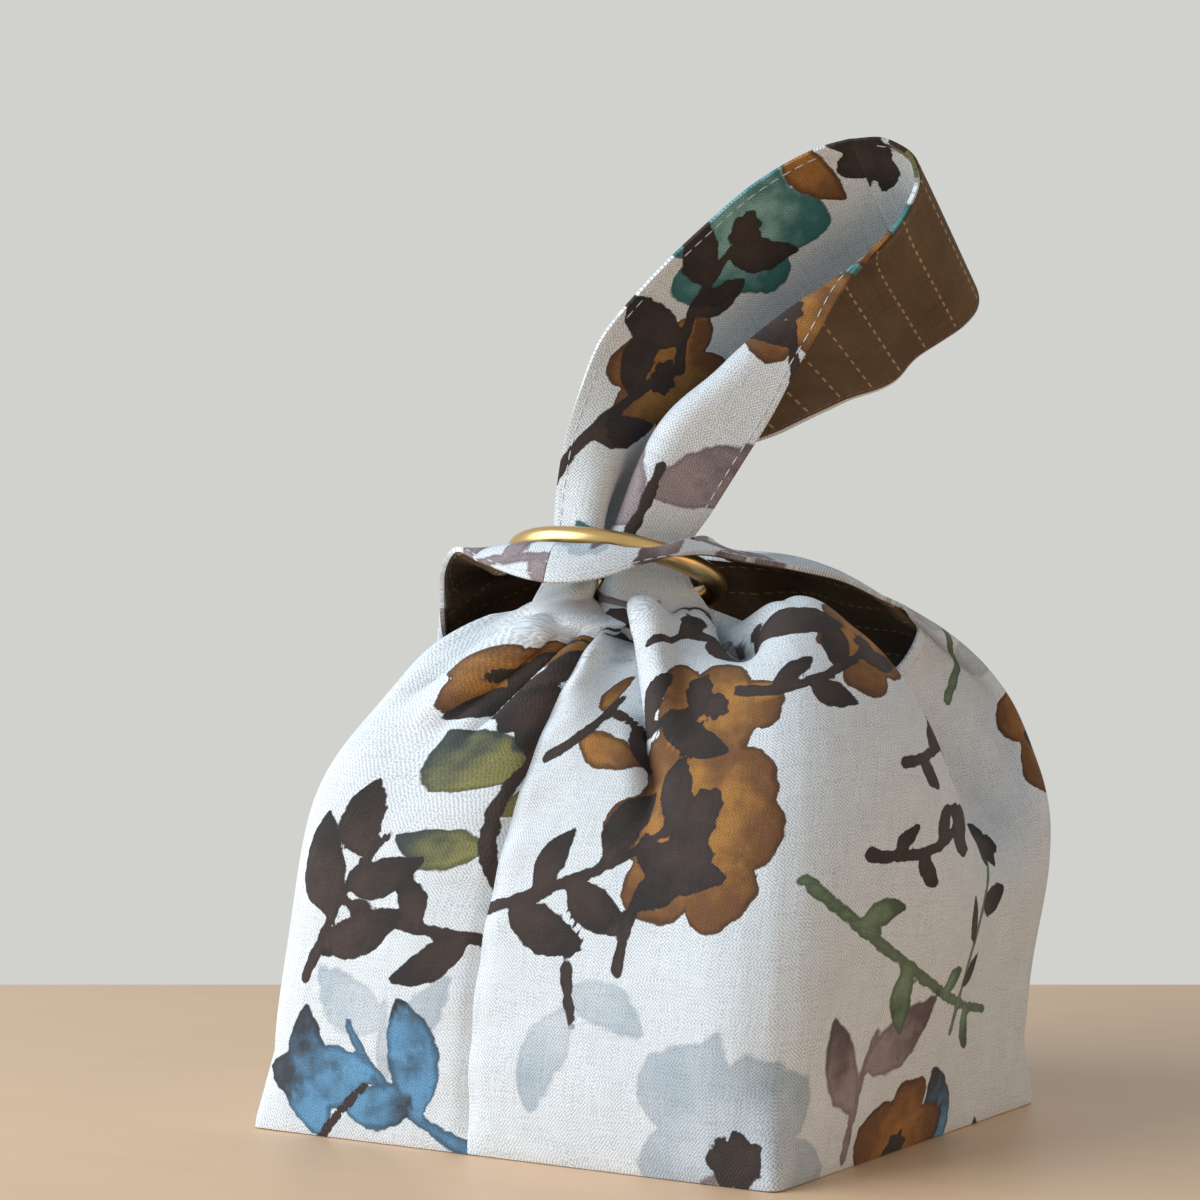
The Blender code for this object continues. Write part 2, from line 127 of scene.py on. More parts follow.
# short strap: neckline edge, armhole edge and the rise between them, from the hood to the joint
right.short_edge = [
    (51, 13, 116.3), (44.9, 8, 119.1), (32.9, -2, 122.0), (21.2, -12, 123.9), (9.9, -22, 125.5),
    (4.5, -26.5, 124.9), (-3.2, -30, 123.0), (-11.7, -33, 120.2), (-20.2, -33, 119.1),
    (-23.5, -32, 119.2)]
right.short_inner = [
    FAR_NOTCH, (18, 22, 124.5), (16.5, 9, 126), (14.5, -3, 127.3), (9.8, -14.5, 128.6),
    (4.2, -24.6, 127.2), (-4.2, -25.5, 122.8), (-10, -23.5, 122.5), (-16, -22.5, 122.5),
    (-18.5, -22, 122.5)]
right.short_rise = [
    (2, 3, 4), (0, 1, 3), (0, 0, 1.5), (0, 0, 0.8), (0, 0, 0.3), (0, 0, 0.6), (0, 0, 3.0), (0, 0, 5.4),
    (0, 0, 6.0), (0, 0, 6.2)]
# wall columns: place across, rise and outward swell above the base, then the run into the top edge
right.columns = [
    (0.00, 45, 5, (14, 12, 16)), (0.10, 50, 8, (4, 16, -4)), (0.20, 55, 9, (-4, 18, -14)),
    (0.26, 60, 11, (-10, 28, -24)), (0.33, 62, 10, (-14, 32, -30)), (0.41, 60, 20, (-24, 30, -14)),
    (0.49, 55, 20, (-30, 8, 22)), (0.60, 50, 9, (-18, -8, 34)), (0.70, 55, 14, (-34, -18, 24)),
    (0.80, 60, 14, (-36, -34, 14)), (0.90, 60, 10, (-12, -40, 20)), (1.00, 60, 12, (-4, -28, 26))]
# folds of the wall: height out of the cloth, half width, then places across and up by turns
right.folds = [
    (-3.2, 0.020, 0.030, 1.0, 0.055, 0.8, 0.10, 0.6, 0.11, 0.5),
    (1.6, 0.020, 0.005, 1.0, 0.020, 0.8, 0.05, 0.6, 0.06, 0.5),
    (1.5, 0.050, 0.44, 1.0, 0.50, 0.75, 0.55, 0.5, 0.58, 0.35),
    (-3.5, 0.045, 0.53, 1.0, 0.59, 0.75, 0.64, 0.5, 0.67, 0.35),
    (-2.2, 0.018, 0.12, 1.0, 0.14, 0.85, 0.155, 0.75),
    (-12.0, 0.036, 0.228, 1.0, 0.228, 0.8, 0.232, 0.6),
    (1.8, 0.035, 0.335, 1.0, 0.340, 0.8, 0.345, 0.6),
    (2.6, 0.030, 0.085, 1.0, 0.100, 0.85, 0.125, 0.66),
    (-2.0, 0.030, 0.86, 1.0, 0.85, 0.8, 0.84, 0.6)]

left = Half()
left.side = -1
left.long_edge = [
    (-26, -13, 114.5), (-23, -11, 121), (-21.6, -10, 130.5), (-21.0, -11, 139.3), (-19.4, -12, 150.5),
    (-16.1, -12, 161.5), (-11.7, -12, 172.5), (-2.9, -12, 183.5), (10.3, -12, 196.7),
    (23.5, -12, 207.7), (38, -12, 215.2), (43, -12, 216.5)]
left.turns = [
    (0.00, (0.20, -0.98, 0.0), (0.67, -0.74, 0.0), (0.95, -0.30, 0.0), 0.50, 0.40),
    (0.03, (0.56, -0.83, 0.0), (0.45, 0.65, 0.0), (-0.03, 1.0, 0.0), 0.48, 0.16),
    (0.06, (0.65, -0.76, 0.0), (0.30, 0.90, 0.0), (0.05, 1.0, 0.0), 0.36, 0.22),
    (0.13, (0.80, -0.60, 0.0), (-0.15, 1.0, 0.0), (0.95, 0.3, 0.0), 0.38, 0.26),
    (0.30, (0.85, 0.0, -0.1), (0.55, 0.80, -0.1), (0.9, 0.4, -0.15), 0.40, 0.30),
    (0.50, (0.62, 0.50, -0.3), (0.68, 0.62, -0.35), (0.7, 0.6, -0.4), 0.40, 0.30),
    (0.70, (0.45, 0.60, -0.60), (0.48, 0.62, -0.6), (0.5, 0.6, -0.6), 0.3, 0.3),
    (0.85, (0.39, 0.62, -0.68), (0.39, 0.62, -0.68), (0.39, 0.62, -0.68), 0.3, 0.3),
    (1.00, (0.39, 0.62, -0.68), (0.39, 0.62, -0.68), (0.39, 0.62, -0.68), 0.3, 0.3)]
left.mouth = [
    (-26, -13, 114.5), (-32, -4, 108), (-38, 6, 101), (-42, 14, 97.5), (-44, 16, 99), (-46.5, 13, 105),
    (-47.0, 7, 110.5), (-47, 4, 113.5)]
left.short_edge = [
    (-47, 4, 113.5), (-46.9, 1, 117.5), (-46.5, -2.5, 121.5), (-44.0, -8, 126), (-37.8, -18, 123.7),
    (-28.8, -28, 120.4), (-23.5, -32, 119.2)]
left.short_inner = [
    FAR_NOTCH, (-6, 31, 121.5), (-23, 24, 122.5), (-33.5, 5, 121.0), (-28.5, -11, 122.5),
    (-22, -19.5, 122.5), (-18.5, -22, 122.5)]
left.short_rise = [
    (-4, 13, 3), (-6, 9, 2), (-5, 3, 1), (-2, 0, 1), (0, 0, 3.4), (0, 0, 5.8), (0, 0, 6.2)]
left.columns = [
    (0.00, 45, 5, (14, 12, 16)), (0.10, 50, 8, (14, 14, 16)), (0.20, 50, 5, (20, 20, 8)),
    (0.26, 52, 5.5, (27, 22, -2)), (0.33, 55, 6, (24, 14, -6)), (0.42, 55, 6, (20, 6, 2)),
    (0.50, 50, 6, (10, 0, 30)), (0.60, 50, 6, (8, -14, 34)), (0.70, 55, 8, (10, -34, 24)),
    (0.80, 60, 8, (6, -44, 8)), (0.90, 60, 9, (4, -44, 16)), (1.00, 60, 12, (-4, -28, 26))]
left.folds = [
    (3.0, 0.034, 0.10, 1.0, 0.17, 0.82, 0.24, 0.66, 0.27, 0.58),
    (-2.6, 0.024, 0.055, 1.0, 0.10, 0.82, 0.15, 0.66, 0.17, 0.55),
    (2.5, 0.050, 0.42, 1.0, 0.45, 0.75, 0.48, 0.5),
    (-4.5, 0.040, 0.50, 1.0, 0.54, 0.75, 0.57, 0.5, 0.58, 0.35),
    (-2.0, 0.030, 0.86, 1.0, 0.85, 0.8, 0.84, 0.6)]
print("guide points read for two halves")


# %% [markdown]
# A few small curve tools are enough. One draws a smooth line through guide points, one measures
# how far along a line each point lies, one turns points about the upright axis, and one is the
# straight ramp that lets a fold or a tone come in gently.

# %% Curve tools
def smooth(keys, values, place):
    """Smooth curve through the values at the keys, read at each place."""
    keys = np.asarray(keys, float)
    values = np.asarray(values, float).reshape(len(keys), -1)
    place = np.atleast_1d(np.asarray(place, float))
    gaps = np.diff(keys)
    slopes = np.diff(values, axis=0) / gaps[:, None]
    inner = slopes[:-1] * gaps[1:, None] + slopes[1:] * gaps[:-1, None]
    inner = inner / (keys[2:] - keys[:-2])[:, None]
    tangents = np.vstack([slopes[:1], inner, slopes[-1:]])
    i = np.clip(np.searchsorted(keys, place) - 1, 0, len(keys) - 2)
    span = gaps[i][:, None]
    s = np.clip((place - keys[i])[:, None] / span, 0, 1)
    near = values[i] * (1 + 2 * s) * (1 - s) ** 2 + tangents[i] * span * s * (1 - s) ** 2
    far = values[i + 1] * s * s * (3 - 2 * s) - tangents[i + 1] * span * s * s * (1 - s)
    return near + far


def lengths(points):
    """Running length along the points, from 0 to 1."""
    steps = np.linalg.norm(np.diff(np.asarray(points, float), axis=0), axis=1)
    run = np.concatenate([[0], np.cumsum(steps)])
    return run / run[-1]


def along(points, place):
    return smooth(lengths(points), points, place)


def read_line(place, keys, points):
    """Points of a straight-sided line, read at places between its keys."""
    return np.stack([np.interp(place, keys, points[:, i]) for i in range(3)], -1)


def unit(v):
    return v / np.linalg.norm(v, axis=-1, keepdims=True)


def ramp(value, over):
    """0 at and below 0, 1 from "over" on, and a straight rise between them."""
    return np.clip(value / over, 0, 1)


def turned(p, angle):
    """The points turned about the upright axis."""
    x, y = p[..., 0], p[..., 1]
    c, s = math.cos(angle), math.sin(angle)
    return np.stack([x * c - y * s, x * s + y * c, p[..., 2]], -1)


print("test of the smooth line:", smooth([0, 1, 2], [0, 1, 0], 1.0)[0])

# %% [markdown]
# The long strap is a flat band that curls up where the ring holds it. It is made by walking across
# the strap in small steps, with a heading that turns from its neckline edge to its armhole edge.
# That keeps the cloth exactly as wide as it was cut, which a plain bent tube would not do.

# %% The straps
STRAP_STEPS = 60        # steps of the walk across the long strap
NOTCH_HOLD = 0.12       # part of the leg over which its armhole edge is drawn to the notch
CORNERS = 0.26          # place across of the base's first corner
SHARP, SOFT = 0.006, 0.055     # reach across over which a corner is rounded, at the base and above it
FACE_STEP = 0.004       # how far apart two places are read to find which way the cloth faces
FOLD_FADE, FOLD_EASE = 0.25, 0.10       # parts of the height over which a fold comes in and ends


def long_section(half, station, t):
    """The long strap cut across at a station; t runs from neckline edge (0) to armhole edge (1)."""
    keys = [row[0] for row in half.turns]
    start, middle, end = (unit(smooth(keys, [row[i] for row in half.turns], station)[0])
                          for i in (1, 2, 3))
    centre, reach = smooth(keys, [row[4:6] for row in half.turns], station)[0]
    q = np.linspace(0, 1, STRAP_STEPS + 1)[:, None]
    into = ramp(q - centre + reach, reach)
    out_of = ramp(q - centre, reach)
    heading = unit(start * (1 - into) + middle * (into - out_of) + end * out_of)
    walk = np.cumsum(0.5 * (heading[1:] + heading[:-1]) * STRAP_WIDTH / STRAP_STEPS, axis=0)
    walk = np.vstack([[0, 0, 0], walk])
    edge = along(half.long_edge, station)[0]
    return edge + read_line(t, q[:, 0], walk)


def long_row(half, station, across):
    """One row of the long strap. Near the neck its armhole edge is drawn to the notch."""
    t = 1 - np.asarray(across) / LONG_STRAP_END
    miss = np.asarray(NEAR_NOTCH) - long_section(half, 0.0, np.array([1.0]))[0]
    hold = max(0.0, 1 - station / NOTCH_HOLD) ** 2
    return long_section(half, station, t) + t[:, None] * miss * hold


def short_row(half, station, across):
    """One row of the short strap, between its two edges."""
    t = ((np.asarray(across) - SHORT_STRAP_START) / (1 - SHORT_STRAP_START))[:, None]
    keys = lengths(half.short_edge)
    edge = smooth(keys, half.short_edge, station)[0]
    inner = smooth(keys, half.short_inner, station)[0]
    rise = smooth(keys, half.short_rise, station)[0]
    return edge + t * (inner - edge) + 4 * t * (1 - t) * rise


def top_line(half, across):
    """Top edge of the wall: foot of the long strap, mouth curve, foot of the short strap."""
    out = np.zeros((len(across), 3))
    near = across <= LONG_STRAP_END
    far = across >= SHORT_STRAP_START
    mouth = ~near & ~far
    out[near] = long_row(half, 0.0, across[near])
    out[far] = short_row(half, 0.0, across[far])
    q = (across[mouth] - LONG_STRAP_END) / (SHORT_STRAP_START - LONG_STRAP_END)
    out[mouth] = along(half.mouth, q)
    return out

print("long strap rows are", STRAP_WIDTH, "mm wide at every station")

# %% [markdown]
# The wall runs from the flat base up to the mouth. Each column is one Bezier curve that swells out
# above the base and runs into the top edge, and the larger folds push it along the cloth's face.

# %% The wall
def base_line(half, across):
    """Base edge of one half, from the near seam round two corners to the far one, and the way out."""
    places = [0, CORNERS, 1 - CORNERS, 1]
    x = np.interp(across, places, [SEAM_FOOT_X, half.side * BASE_X, half.side * BASE_X, 0])
    y = np.interp(across, places, [-BASE_Y, -BASE_Y, BASE_Y, BASE_Y])
    angle = np.radians(np.interp(across, [0, 0.16, 0.26, 0.36, 0.64, 0.74, 0.84, 1],
                                 [-90, -90, -45, 0, 0, 45, 90, 90]))
    out = np.stack([half.side * np.cos(angle), np.sin(angle), 0 * angle], -1)
    return np.stack([x, y, np.full(len(x), OUTER_CLOTH)], -1), out


def rounded_base(half, across, reach):
    """The base edge with its corners rounded over a reach to both sides."""
    free = np.minimum(reach, np.minimum(across, 1 - across))
    return sum(base_line(half, across + k * free)[0] for k in (-1, -0.5, 0, 0.5, 1)) / 5


def plain_wall(half, across, up):
    """The wall without its folds: each column is one curve from the base edge to the top line."""
    _, out = base_line(half, across)
    base = turned(rounded_base(half, across, SHARP), -VIEW_TURN)
    soft = turned(rounded_base(half, across, SOFT), -VIEW_TURN)
    out = turned(out, -VIEW_TURN)
    top = top_line(half, across)
    keys = [row[0] for row in half.columns]
    rise, swell = smooth(keys, [row[1:3] for row in half.columns], across).T[:, :, None]
    run = smooth(keys, [row[3] for row in half.columns], across)
    low = soft + out * swell + np.array([0, 0, 1.0]) * rise
    high = top - run
    v = np.broadcast_to(np.asarray(up, float), (len(base),))[:, None]
    return (1 - v) ** 3 * base + 3 * v * (1 - v) ** 2 * low + 3 * v * v * (1 - v) * high + v ** 3 * top


def face_out(surface, half, across, up):
    """The way the cloth faces, outwards, at places of a surface."""
    low, high = np.clip(across - FACE_STEP, 0, 1), np.clip(across + FACE_STEP, 0, 1)
    side = surface(half, high, up) - surface(half, low, up)
    low, high = np.clip(up - FACE_STEP, 0, 1), np.clip(up + FACE_STEP, 0, 1)
    rise = surface(half, across, high) - surface(half, across, low)
    return unit(np.cross(side, rise)) * half.side


def ridges(lines, across, up, fade_over, ease):
    """How far some folds push the cloth out; each fades downwards, and eases towards its top."""
    push = np.zeros(len(across))
    for height, width, *line in lines:
        places, ups = line[0::2][::-1], line[1::2][::-1]
        centre = np.interp(up, ups, places)
        fade = ramp(up - ups[0], fade_over)
        fade = fade * fade * (3 - 2 * fade)
        push += height * np.exp(-((across - centre) / width) ** 2) * fade * ease(ups[-1])
    return push


def wall(half, across, up):
    """The wall with its folds pushed in or out along the cloth's own face."""
    across = np.asarray(across, float)
    up = np.broadcast_to(np.asarray(up, float), across.shape)
    push = ridges(half.folds, across, up, FOLD_FADE, lambda top: ramp(1 - up, FOLD_EASE) ** 0.5)
    seam_hold = ramp(np.minimum(across, 1 - across), 0.02)
    face = face_out(plain_wall, half, across, up)
    return plain_wall(half, across, up) + face * (push * seam_hold)[:, None]


# %% [markdown]
# Real linen never hangs as smoothly as a drawing. Small creases run out of the gathered neck and
# fade into the wall, the corners of the base carry soft dents, and the side seam puckers a little.
# They are added here, over the larger folds, because the solids only need the main shapes.

# %% Finer creases and puckers
# the short strap of the solids stays well clear of the ring; the cloth sags a little beyond it
right.short_inner[1:5] = [(18, 22, 124.2), (16.5, 9, 124.8), (14.5, -3, 126.0), (9.8, -14.5, 128.8)]
# height out of the cloth, half width, then places across and up by turns
right.creases = [
    (-5.6, 0.013, 0.045, 1.0, 0.062, 0.86, 0.108, 0.66, 0.145, 0.50, 0.150, 0.38),
    (3.8, 0.015, 0.075, 0.97, 0.094, 0.86, 0.140, 0.66, 0.180, 0.50),
    (-3.8, 0.016, 0.215, 0.98, 0.218, 0.85, 0.223, 0.72, 0.232, 0.62),
    (-1.0, 0.010, 0.160, 0.95, 0.172, 0.80, 0.190, 0.66),
    (-0.9, 0.012, 0.300, 0.97, 0.300, 0.84, 0.310, 0.72),
    (1.1, 0.020, 0.360, 0.95, 0.400, 0.78, 0.443, 0.66, 0.490, 0.50),
    (-1.6, 0.022, 0.420, 0.99, 0.470, 0.80, 0.520, 0.62, 0.560, 0.45),
    (-1.4, 0.020, 0.655, 0.97, 0.668, 0.78, 0.680, 0.60, 0.690, 0.45),
    (1.2, 0.022, 0.720, 0.95, 0.735, 0.75, 0.740, 0.55),
    (-1.8, 0.018, 0.800, 0.97, 0.810, 0.78, 0.815, 0.60),
    (1.3, 0.020, 0.900, 0.95, 0.905, 0.75, 0.910, 0.55),
    (-1.2, 0.014, 0.950, 0.97, 0.955, 0.80, 0.965, 0.62)]
left.creases = [
    (-3.4, 0.014, 0.030, 0.99, 0.050, 0.88, 0.085, 0.74, 0.110, 0.60),
    (3.2, 0.028, 0.075, 0.97, 0.110, 0.85, 0.165, 0.72, 0.215, 0.58),
    (-3.0, 0.016, 0.120, 0.99, 0.165, 0.86, 0.215, 0.72, 0.250, 0.58),
    (-1.2, 0.014, 0.150, 0.98, 0.200, 0.84, 0.240, 0.70, 0.270, 0.56),
    (1.0, 0.016, 0.240, 0.94, 0.270, 0.78, 0.300, 0.62),
    (-1.6, 0.018, 0.340, 0.97, 0.350, 0.80, 0.360, 0.62),
    (1.2, 0.020, 0.620, 0.95, 0.640, 0.76, 0.650, 0.58),
    (-1.7, 0.018, 0.700, 0.97, 0.720, 0.78, 0.730, 0.58),
    (-1.4, 0.016, 0.800, 0.97, 0.810, 0.78, 0.815, 0.60),
    (1.2, 0.018, 0.900, 0.95, 0.905, 0.75, 0.910, 0.55)]
# height of a broad swell of the wall, its place across and up, and its half widths
right.swells = [(3.9, 0.68, 0.46, 0.15, 0.160), (-1.8, 0.68, 0.20, 0.14, 0.12)]
left.swells = [(3.6, 0.28, 0.45, 0.14, 0.155)]
CORNER_SOFT = 0.050     # reach across over which the wall's upright corners are rounded
SEAM_DIP = 1.1          # how far the cloth turns in at the side seams
SEAM_REACH = 2.2        # half width of that groove
PUCKER = 0.35           # height of the seam's puckers
PUCKER_COUNT = 9.0      # puckers from base to top
PUCKER_REACH = 9.0      # how far they run out from the seam
HALF_SPAN = 240.0       # cloth from seam to seam round one half
CREASE_FADE, CREASE_EASE = 0.16, 0.05   # parts of the height over which a crease comes in and ends
DENT = 0.7              # soft dents all over the wall


def waves(half, across, up):
    """Slow dents of the wall, from a few crossing waves; the same on every run."""
    shift = 0.0 if half.side > 0 else 1.7
    one = np.sin(9.1 * across + 5.3 * up + shift) * np.sin(4.2 * across - 7.7 * up + 2 * shift)
    two = np.sin(23.0 * across - 6.1 * up + 3 * shift) * np.sin(13.0 * up + 8.0 * across)
    return 0.65 * one + 0.35 * two


def draped_wall(half, across, up):
    """The wall with its folds, its finer creases, dents and seam puckers."""
    # the corners of the base are sharp, but linen can't hold a sharp edge up the wall
    from_seam = np.minimum(across, 1 - across)
    reach = CORNER_SOFT * np.minimum(from_seam / 0.16, 1)
    round_off = sum(plain_wall(half, across + k * reach, up) for k in (-1, -0.6, 0, 0.6, 1)) / 5
    ease = ramp(up, 0.10) * ramp(0.80 - up, 0.40)
    here = wall(half, across, up) + (round_off - plain_wall(half, across, up)) * ease[:, None]
    push = ridges(half.creases, across, up, CREASE_FADE,
                  lambda top: np.clip((top - up) / CREASE_EASE + 0.4, 0, 1))
    for depth, place, level, wide, high in half.swells:
        shape = np.exp(-((across - place) / wide) ** 2 - ((up - level) / high) ** 2)
        push += depth * shape * ramp(up, 0.08)
    push += DENT * waves(half, across, up) * (ramp(up, 0.12) * ramp(1 - up, 0.15))
    away = from_seam * HALF_SPAN
    groove = np.exp(-(away / SEAM_REACH) ** 2)
    puckers = np.sin(2 * np.pi * up * PUCKER_COUNT + 0.8) * np.exp(-(away / PUCKER_REACH) ** 2)
    edge_hold = ramp(up, 0.03) * ramp(1 - up, 0.04)
    push = push * (1 - groove) + (PUCKER * puckers - SEAM_DIP * groove) * edge_hold
    return here + face_out(wall, half, across, up) * push[:, None]


print("creases:", len(right.creases), "on the right half,", len(left.creases), "on the left half")

# %% [markdown]
# Each half could be cut from one mesh with the straps knifed out of it, but a grid for each area is
# easier to keep even: the base, the wall and the two straps. Blender's grid operator makes each
# one flat, its points are moved on to the shaped surface, and the borders are then merged. The flat
# place of every point is kept as a UV map in metres, so that weave and print follow the cloth.

# %% Shaping a flat grid into cloth
BASE_STEPS = 24
WALL_STEPS = 100
LONG_STEPS = 176
SHORT_STEPS = 84
NEAR_COLUMNS = 44
MOUTH_COLUMNS = 176
FAR_COLUMNS = 44
BASE_HOLE = 0.02        # part of the way out from its middle at which the base's grid starts
STRAP_FOOT = 45.0       # mm up a strap over which the curve of the wall's top edge fades out of it


def columns(detail):
    """Places of the columns across one half, and how many of them belong to the two straps."""
    near = max(int(NEAR_COLUMNS * detail), 4)
    mouth = max(int(MOUTH_COLUMNS * detail), 8)
    far = max(int(FAR_COLUMNS * detail), 4)
    places = np.concatenate([np.linspace(0, LONG_STRAP_END, near + 1),
                             np.linspace(LONG_STRAP_END, SHORT_STRAP_START, mouth + 1)[1:],
                             np.linspace(SHORT_STRAP_START, 1, far + 1)[1:]])
    return places, near, far


def drawn_in(edge, inside, inset):
    """Points of a free edge moved some mm towards the row inside it."""
    step = inside - edge
    return edge + step * np.minimum(inset / np.linalg.norm(step, axis=1, keepdims=True), 0.9)


def lattices(half, detail, inset):
    """Shaped points of the base, the wall and the two straps, row by row, in view axes and mm."""
    across, near, far = columns(detail)
    rows = [max(int(n * detail), 4) for n in (BASE_STEPS, WALL_STEPS, LONG_STEPS, SHORT_STEPS)]
    rim, _ = base_line(half, across)
    rim = turned(rim, -VIEW_TURN)
    middle = turned(np.array([SEAM_FOOT_X / 2, 0, OUTER_CLOTH]), -VIEW_TURN)
    base = np.array([middle + (rim - middle) * (BASE_HOLE + (1 - BASE_HOLE) * k / rows[0])
                     for k in range(rows[0] + 1)])
    side = np.array([draped_wall(half, across, np.full(len(across), k / rows[1]))
                     for k in range(rows[1] + 1)])
    long_part = np.array([long_row(half, k / rows[2], across[:near + 1]) for k in range(rows[2] + 1)])
    short_part = np.array([short_row(half, k / rows[3], across[-far - 1:]) for k in range(rows[3] + 1)])
    base[-1] = side[0]
    if inset:
        side[-1, near:-far] = drawn_in(side[-1, near:-far], side[-2, near:-far], inset)
        for part in (long_part, short_part):
            part[:, 0] = drawn_in(part[:, 0], part[:, 1], inset)
            part[:, -1] = drawn_in(part[:, -1], part[:, -2], inset)
    side[-1, :near + 1] = long_part[0]
    side[-1, -far - 1:] = short_part[0]
    return [base, side, long_part, short_part]


def run_lengths(points, axis):
    """Running length of the cloth along one direction of a lattice."""
    steps = np.linalg.norm(np.diff(points, axis=axis), axis=2)
    zero = np.zeros((1, points.shape[1])) if axis == 0 else np.zeros((points.shape[0], 1))
    return np.concatenate([zero, np.cumsum(steps, axis=axis)], axis=axis)


def flat_places(parts, near, far):
    """Where each point lies in the flat cloth, in mm: across from its middle, up from the base."""
    base, side, long_part, short_part = parts
    middle = side.shape[1] // 2
    across = run_lengths(side, 1)
    across = across - across[:, middle:middle + 1]
    up = run_lengths(side, 0)
    flats = [None, np.stack([across, up], 2), None, None]
    below = run_lengths(base, 0)
    flats[0] = np.stack([np.repeat(across[:1], base.shape[0], 0), below - below[-1:]], 2)
    for k, part, place in ((2, long_part, slice(0, near + 1)), (3, short_part, slice(-far - 1, None))):
        width = run_lengths(part, 1)
        start = across[-1][place]
        height = run_lengths(part, 0).mean(1, keepdims=True)
        level = up[-1][place][None]
        ease = np.clip(1 - height / STRAP_FOOT, 0, 1) ** 2
        if k == 2:
            wide = start[-1] - (width[:, -1:] - width)
        else:
            wide = start[0] + width
        flats[k] = np.stack([wide, level.mean() + (level - level.mean()) * ease + height + 0 * wide], 2)
    return flats


def lay_grid(cloth, points, flat, flip, uv, marks):
    """One Blender grid, moved on to shaped points; keeps its flat places and its marks of print."""
    rows, wide = points.shape[:2]
    made = bmesh.ops.create_grid(cloth, x_segments=wide - 1, y_segments=rows - 1, size=0.5)
    place = {}
    for vert in made["verts"]:
        j = round((vert.co.x + 0.5) * (wide - 1))
        i = round((vert.co.y + 0.5) * (rows - 1))
        place[vert] = (i, j)
    faces = {face for vert in made["verts"] for face in vert.link_faces}
    for face in faces:
        for loop in face.loops:
            loop[uv].uv = flat[place[loop.vert]] * MM
    for vert, key in place.items():
        vert.co = Vector(points[key] * MM)
        for layer, values in marks:
            vert[layer] = values[key]
    if flip:
        bmesh.ops.reverse_faces(cloth, faces=list(faces))


print("columns across one half:", len(columns(1.0)[0]))

# %% [markdown]
# The linen is printed with loose watercolour flowers. The design here is a plain one made for this
# bag: round blossoms, paired leaves and thin stems. Every motif is a signed distance in the flat
# cloth, positive inside it, and is kept as one number per point and ink. A picture would blur up
# close and a drawn mesh would lift off the cloth, but a distance stays sharp between its points.

# %% Motifs as distances in the flat cloth, in mm
INKS = ("wash", "mauve", "sage", "teal", "blue", "olive", "ochre", "umber")
FAR_OUT = -8.0          # a distance that reads as well outside any motif
STEM_STEPS = 24
STEM_WIDTHS = (1.45, 0.95)   # a stem from its foot to its tip
EYED_SIZE = 10          # blossoms larger than this have a dark eye


def in_line(at, start, heading):
    """Places along and beside a heading, seen from a start."""
    x = at[..., 0] - start[0]
    y = at[..., 1] - start[1]
    c, s = math.cos(math.radians(heading)), math.sin(math.radians(heading))
    return x * c + y * s, y * c - x * s


def leaf(at, start, heading, length, width, bend=0.0):
    """A pointed leaf: wide before its middle, drawn to a tip, with a slight bend."""
    x, y = in_line(at, start, heading)
    q = ramp(x, length)
    half = 0.5 * width * np.sin(np.pi * q ** 0.85) ** 0.8
    aside = np.abs(y - bend * length * q * (1 - q))
    past = np.maximum(np.maximum(-x, x - length), 0)
    return np.where(past > 0, -np.hypot(past, aside), (half - aside) * 0.85)


def blossom(at, centre, size, petals, heading):
    """A round open flower: its rim swells at each petal."""
    x, y = in_line(at, centre, heading)
    angle = np.arctan2(y, x)
    rim = size * (0.66 + 0.34 * np.abs(np.cos(0.5 * petals * angle)) ** 0.6)
    rim = rim * (1 + 0.10 * np.sin(2 * angle + heading) + 0.05 * np.sin(7 * angle + 2 * heading))
    return (rim - np.hypot(x, y)) * 0.8


def stem_line(start, heading, length, bend):
    """Points and headings along a stem that bends evenly."""
    q = np.linspace(0, 1, STEM_STEPS + 1)
    turn = np.radians(heading + bend * (q - 0.5))
    step = length / STEM_STEPS
    x = start[0] + np.concatenate([[0], np.cumsum(np.cos(turn[:-1]) * step)])
    y = start[1] + np.concatenate([[0], np.cumsum(np.sin(turn[:-1]) * step)])
    return np.stack([x, y], 1), np.degrees(turn)


def stroke(at, line, thick, thin):
    """A brush stroke along a line, from thick to thin."""
    best = np.full(at.shape[:-1], FAR_OUT)
    for k in range(len(line) - 1):
        a, b = line[k], line[k + 1]
        run = b - a
        q = np.clip(((at - a) @ run) / (run @ run), 0, 1)
        away = np.linalg.norm(at - a - q[..., None] * run, axis=-1)
        best = np.maximum(best, thick + (thin - thick) * (k + q) / (len(line) - 1) - away)
    return best


print("inks:", ", ".join(INKS))

# %% [markdown]
# A spray is a stem with leaves in pairs and sometimes a blossom at its tip. Giving each spray a
# start, a heading and its inks keeps the layout short to write and easy to change.

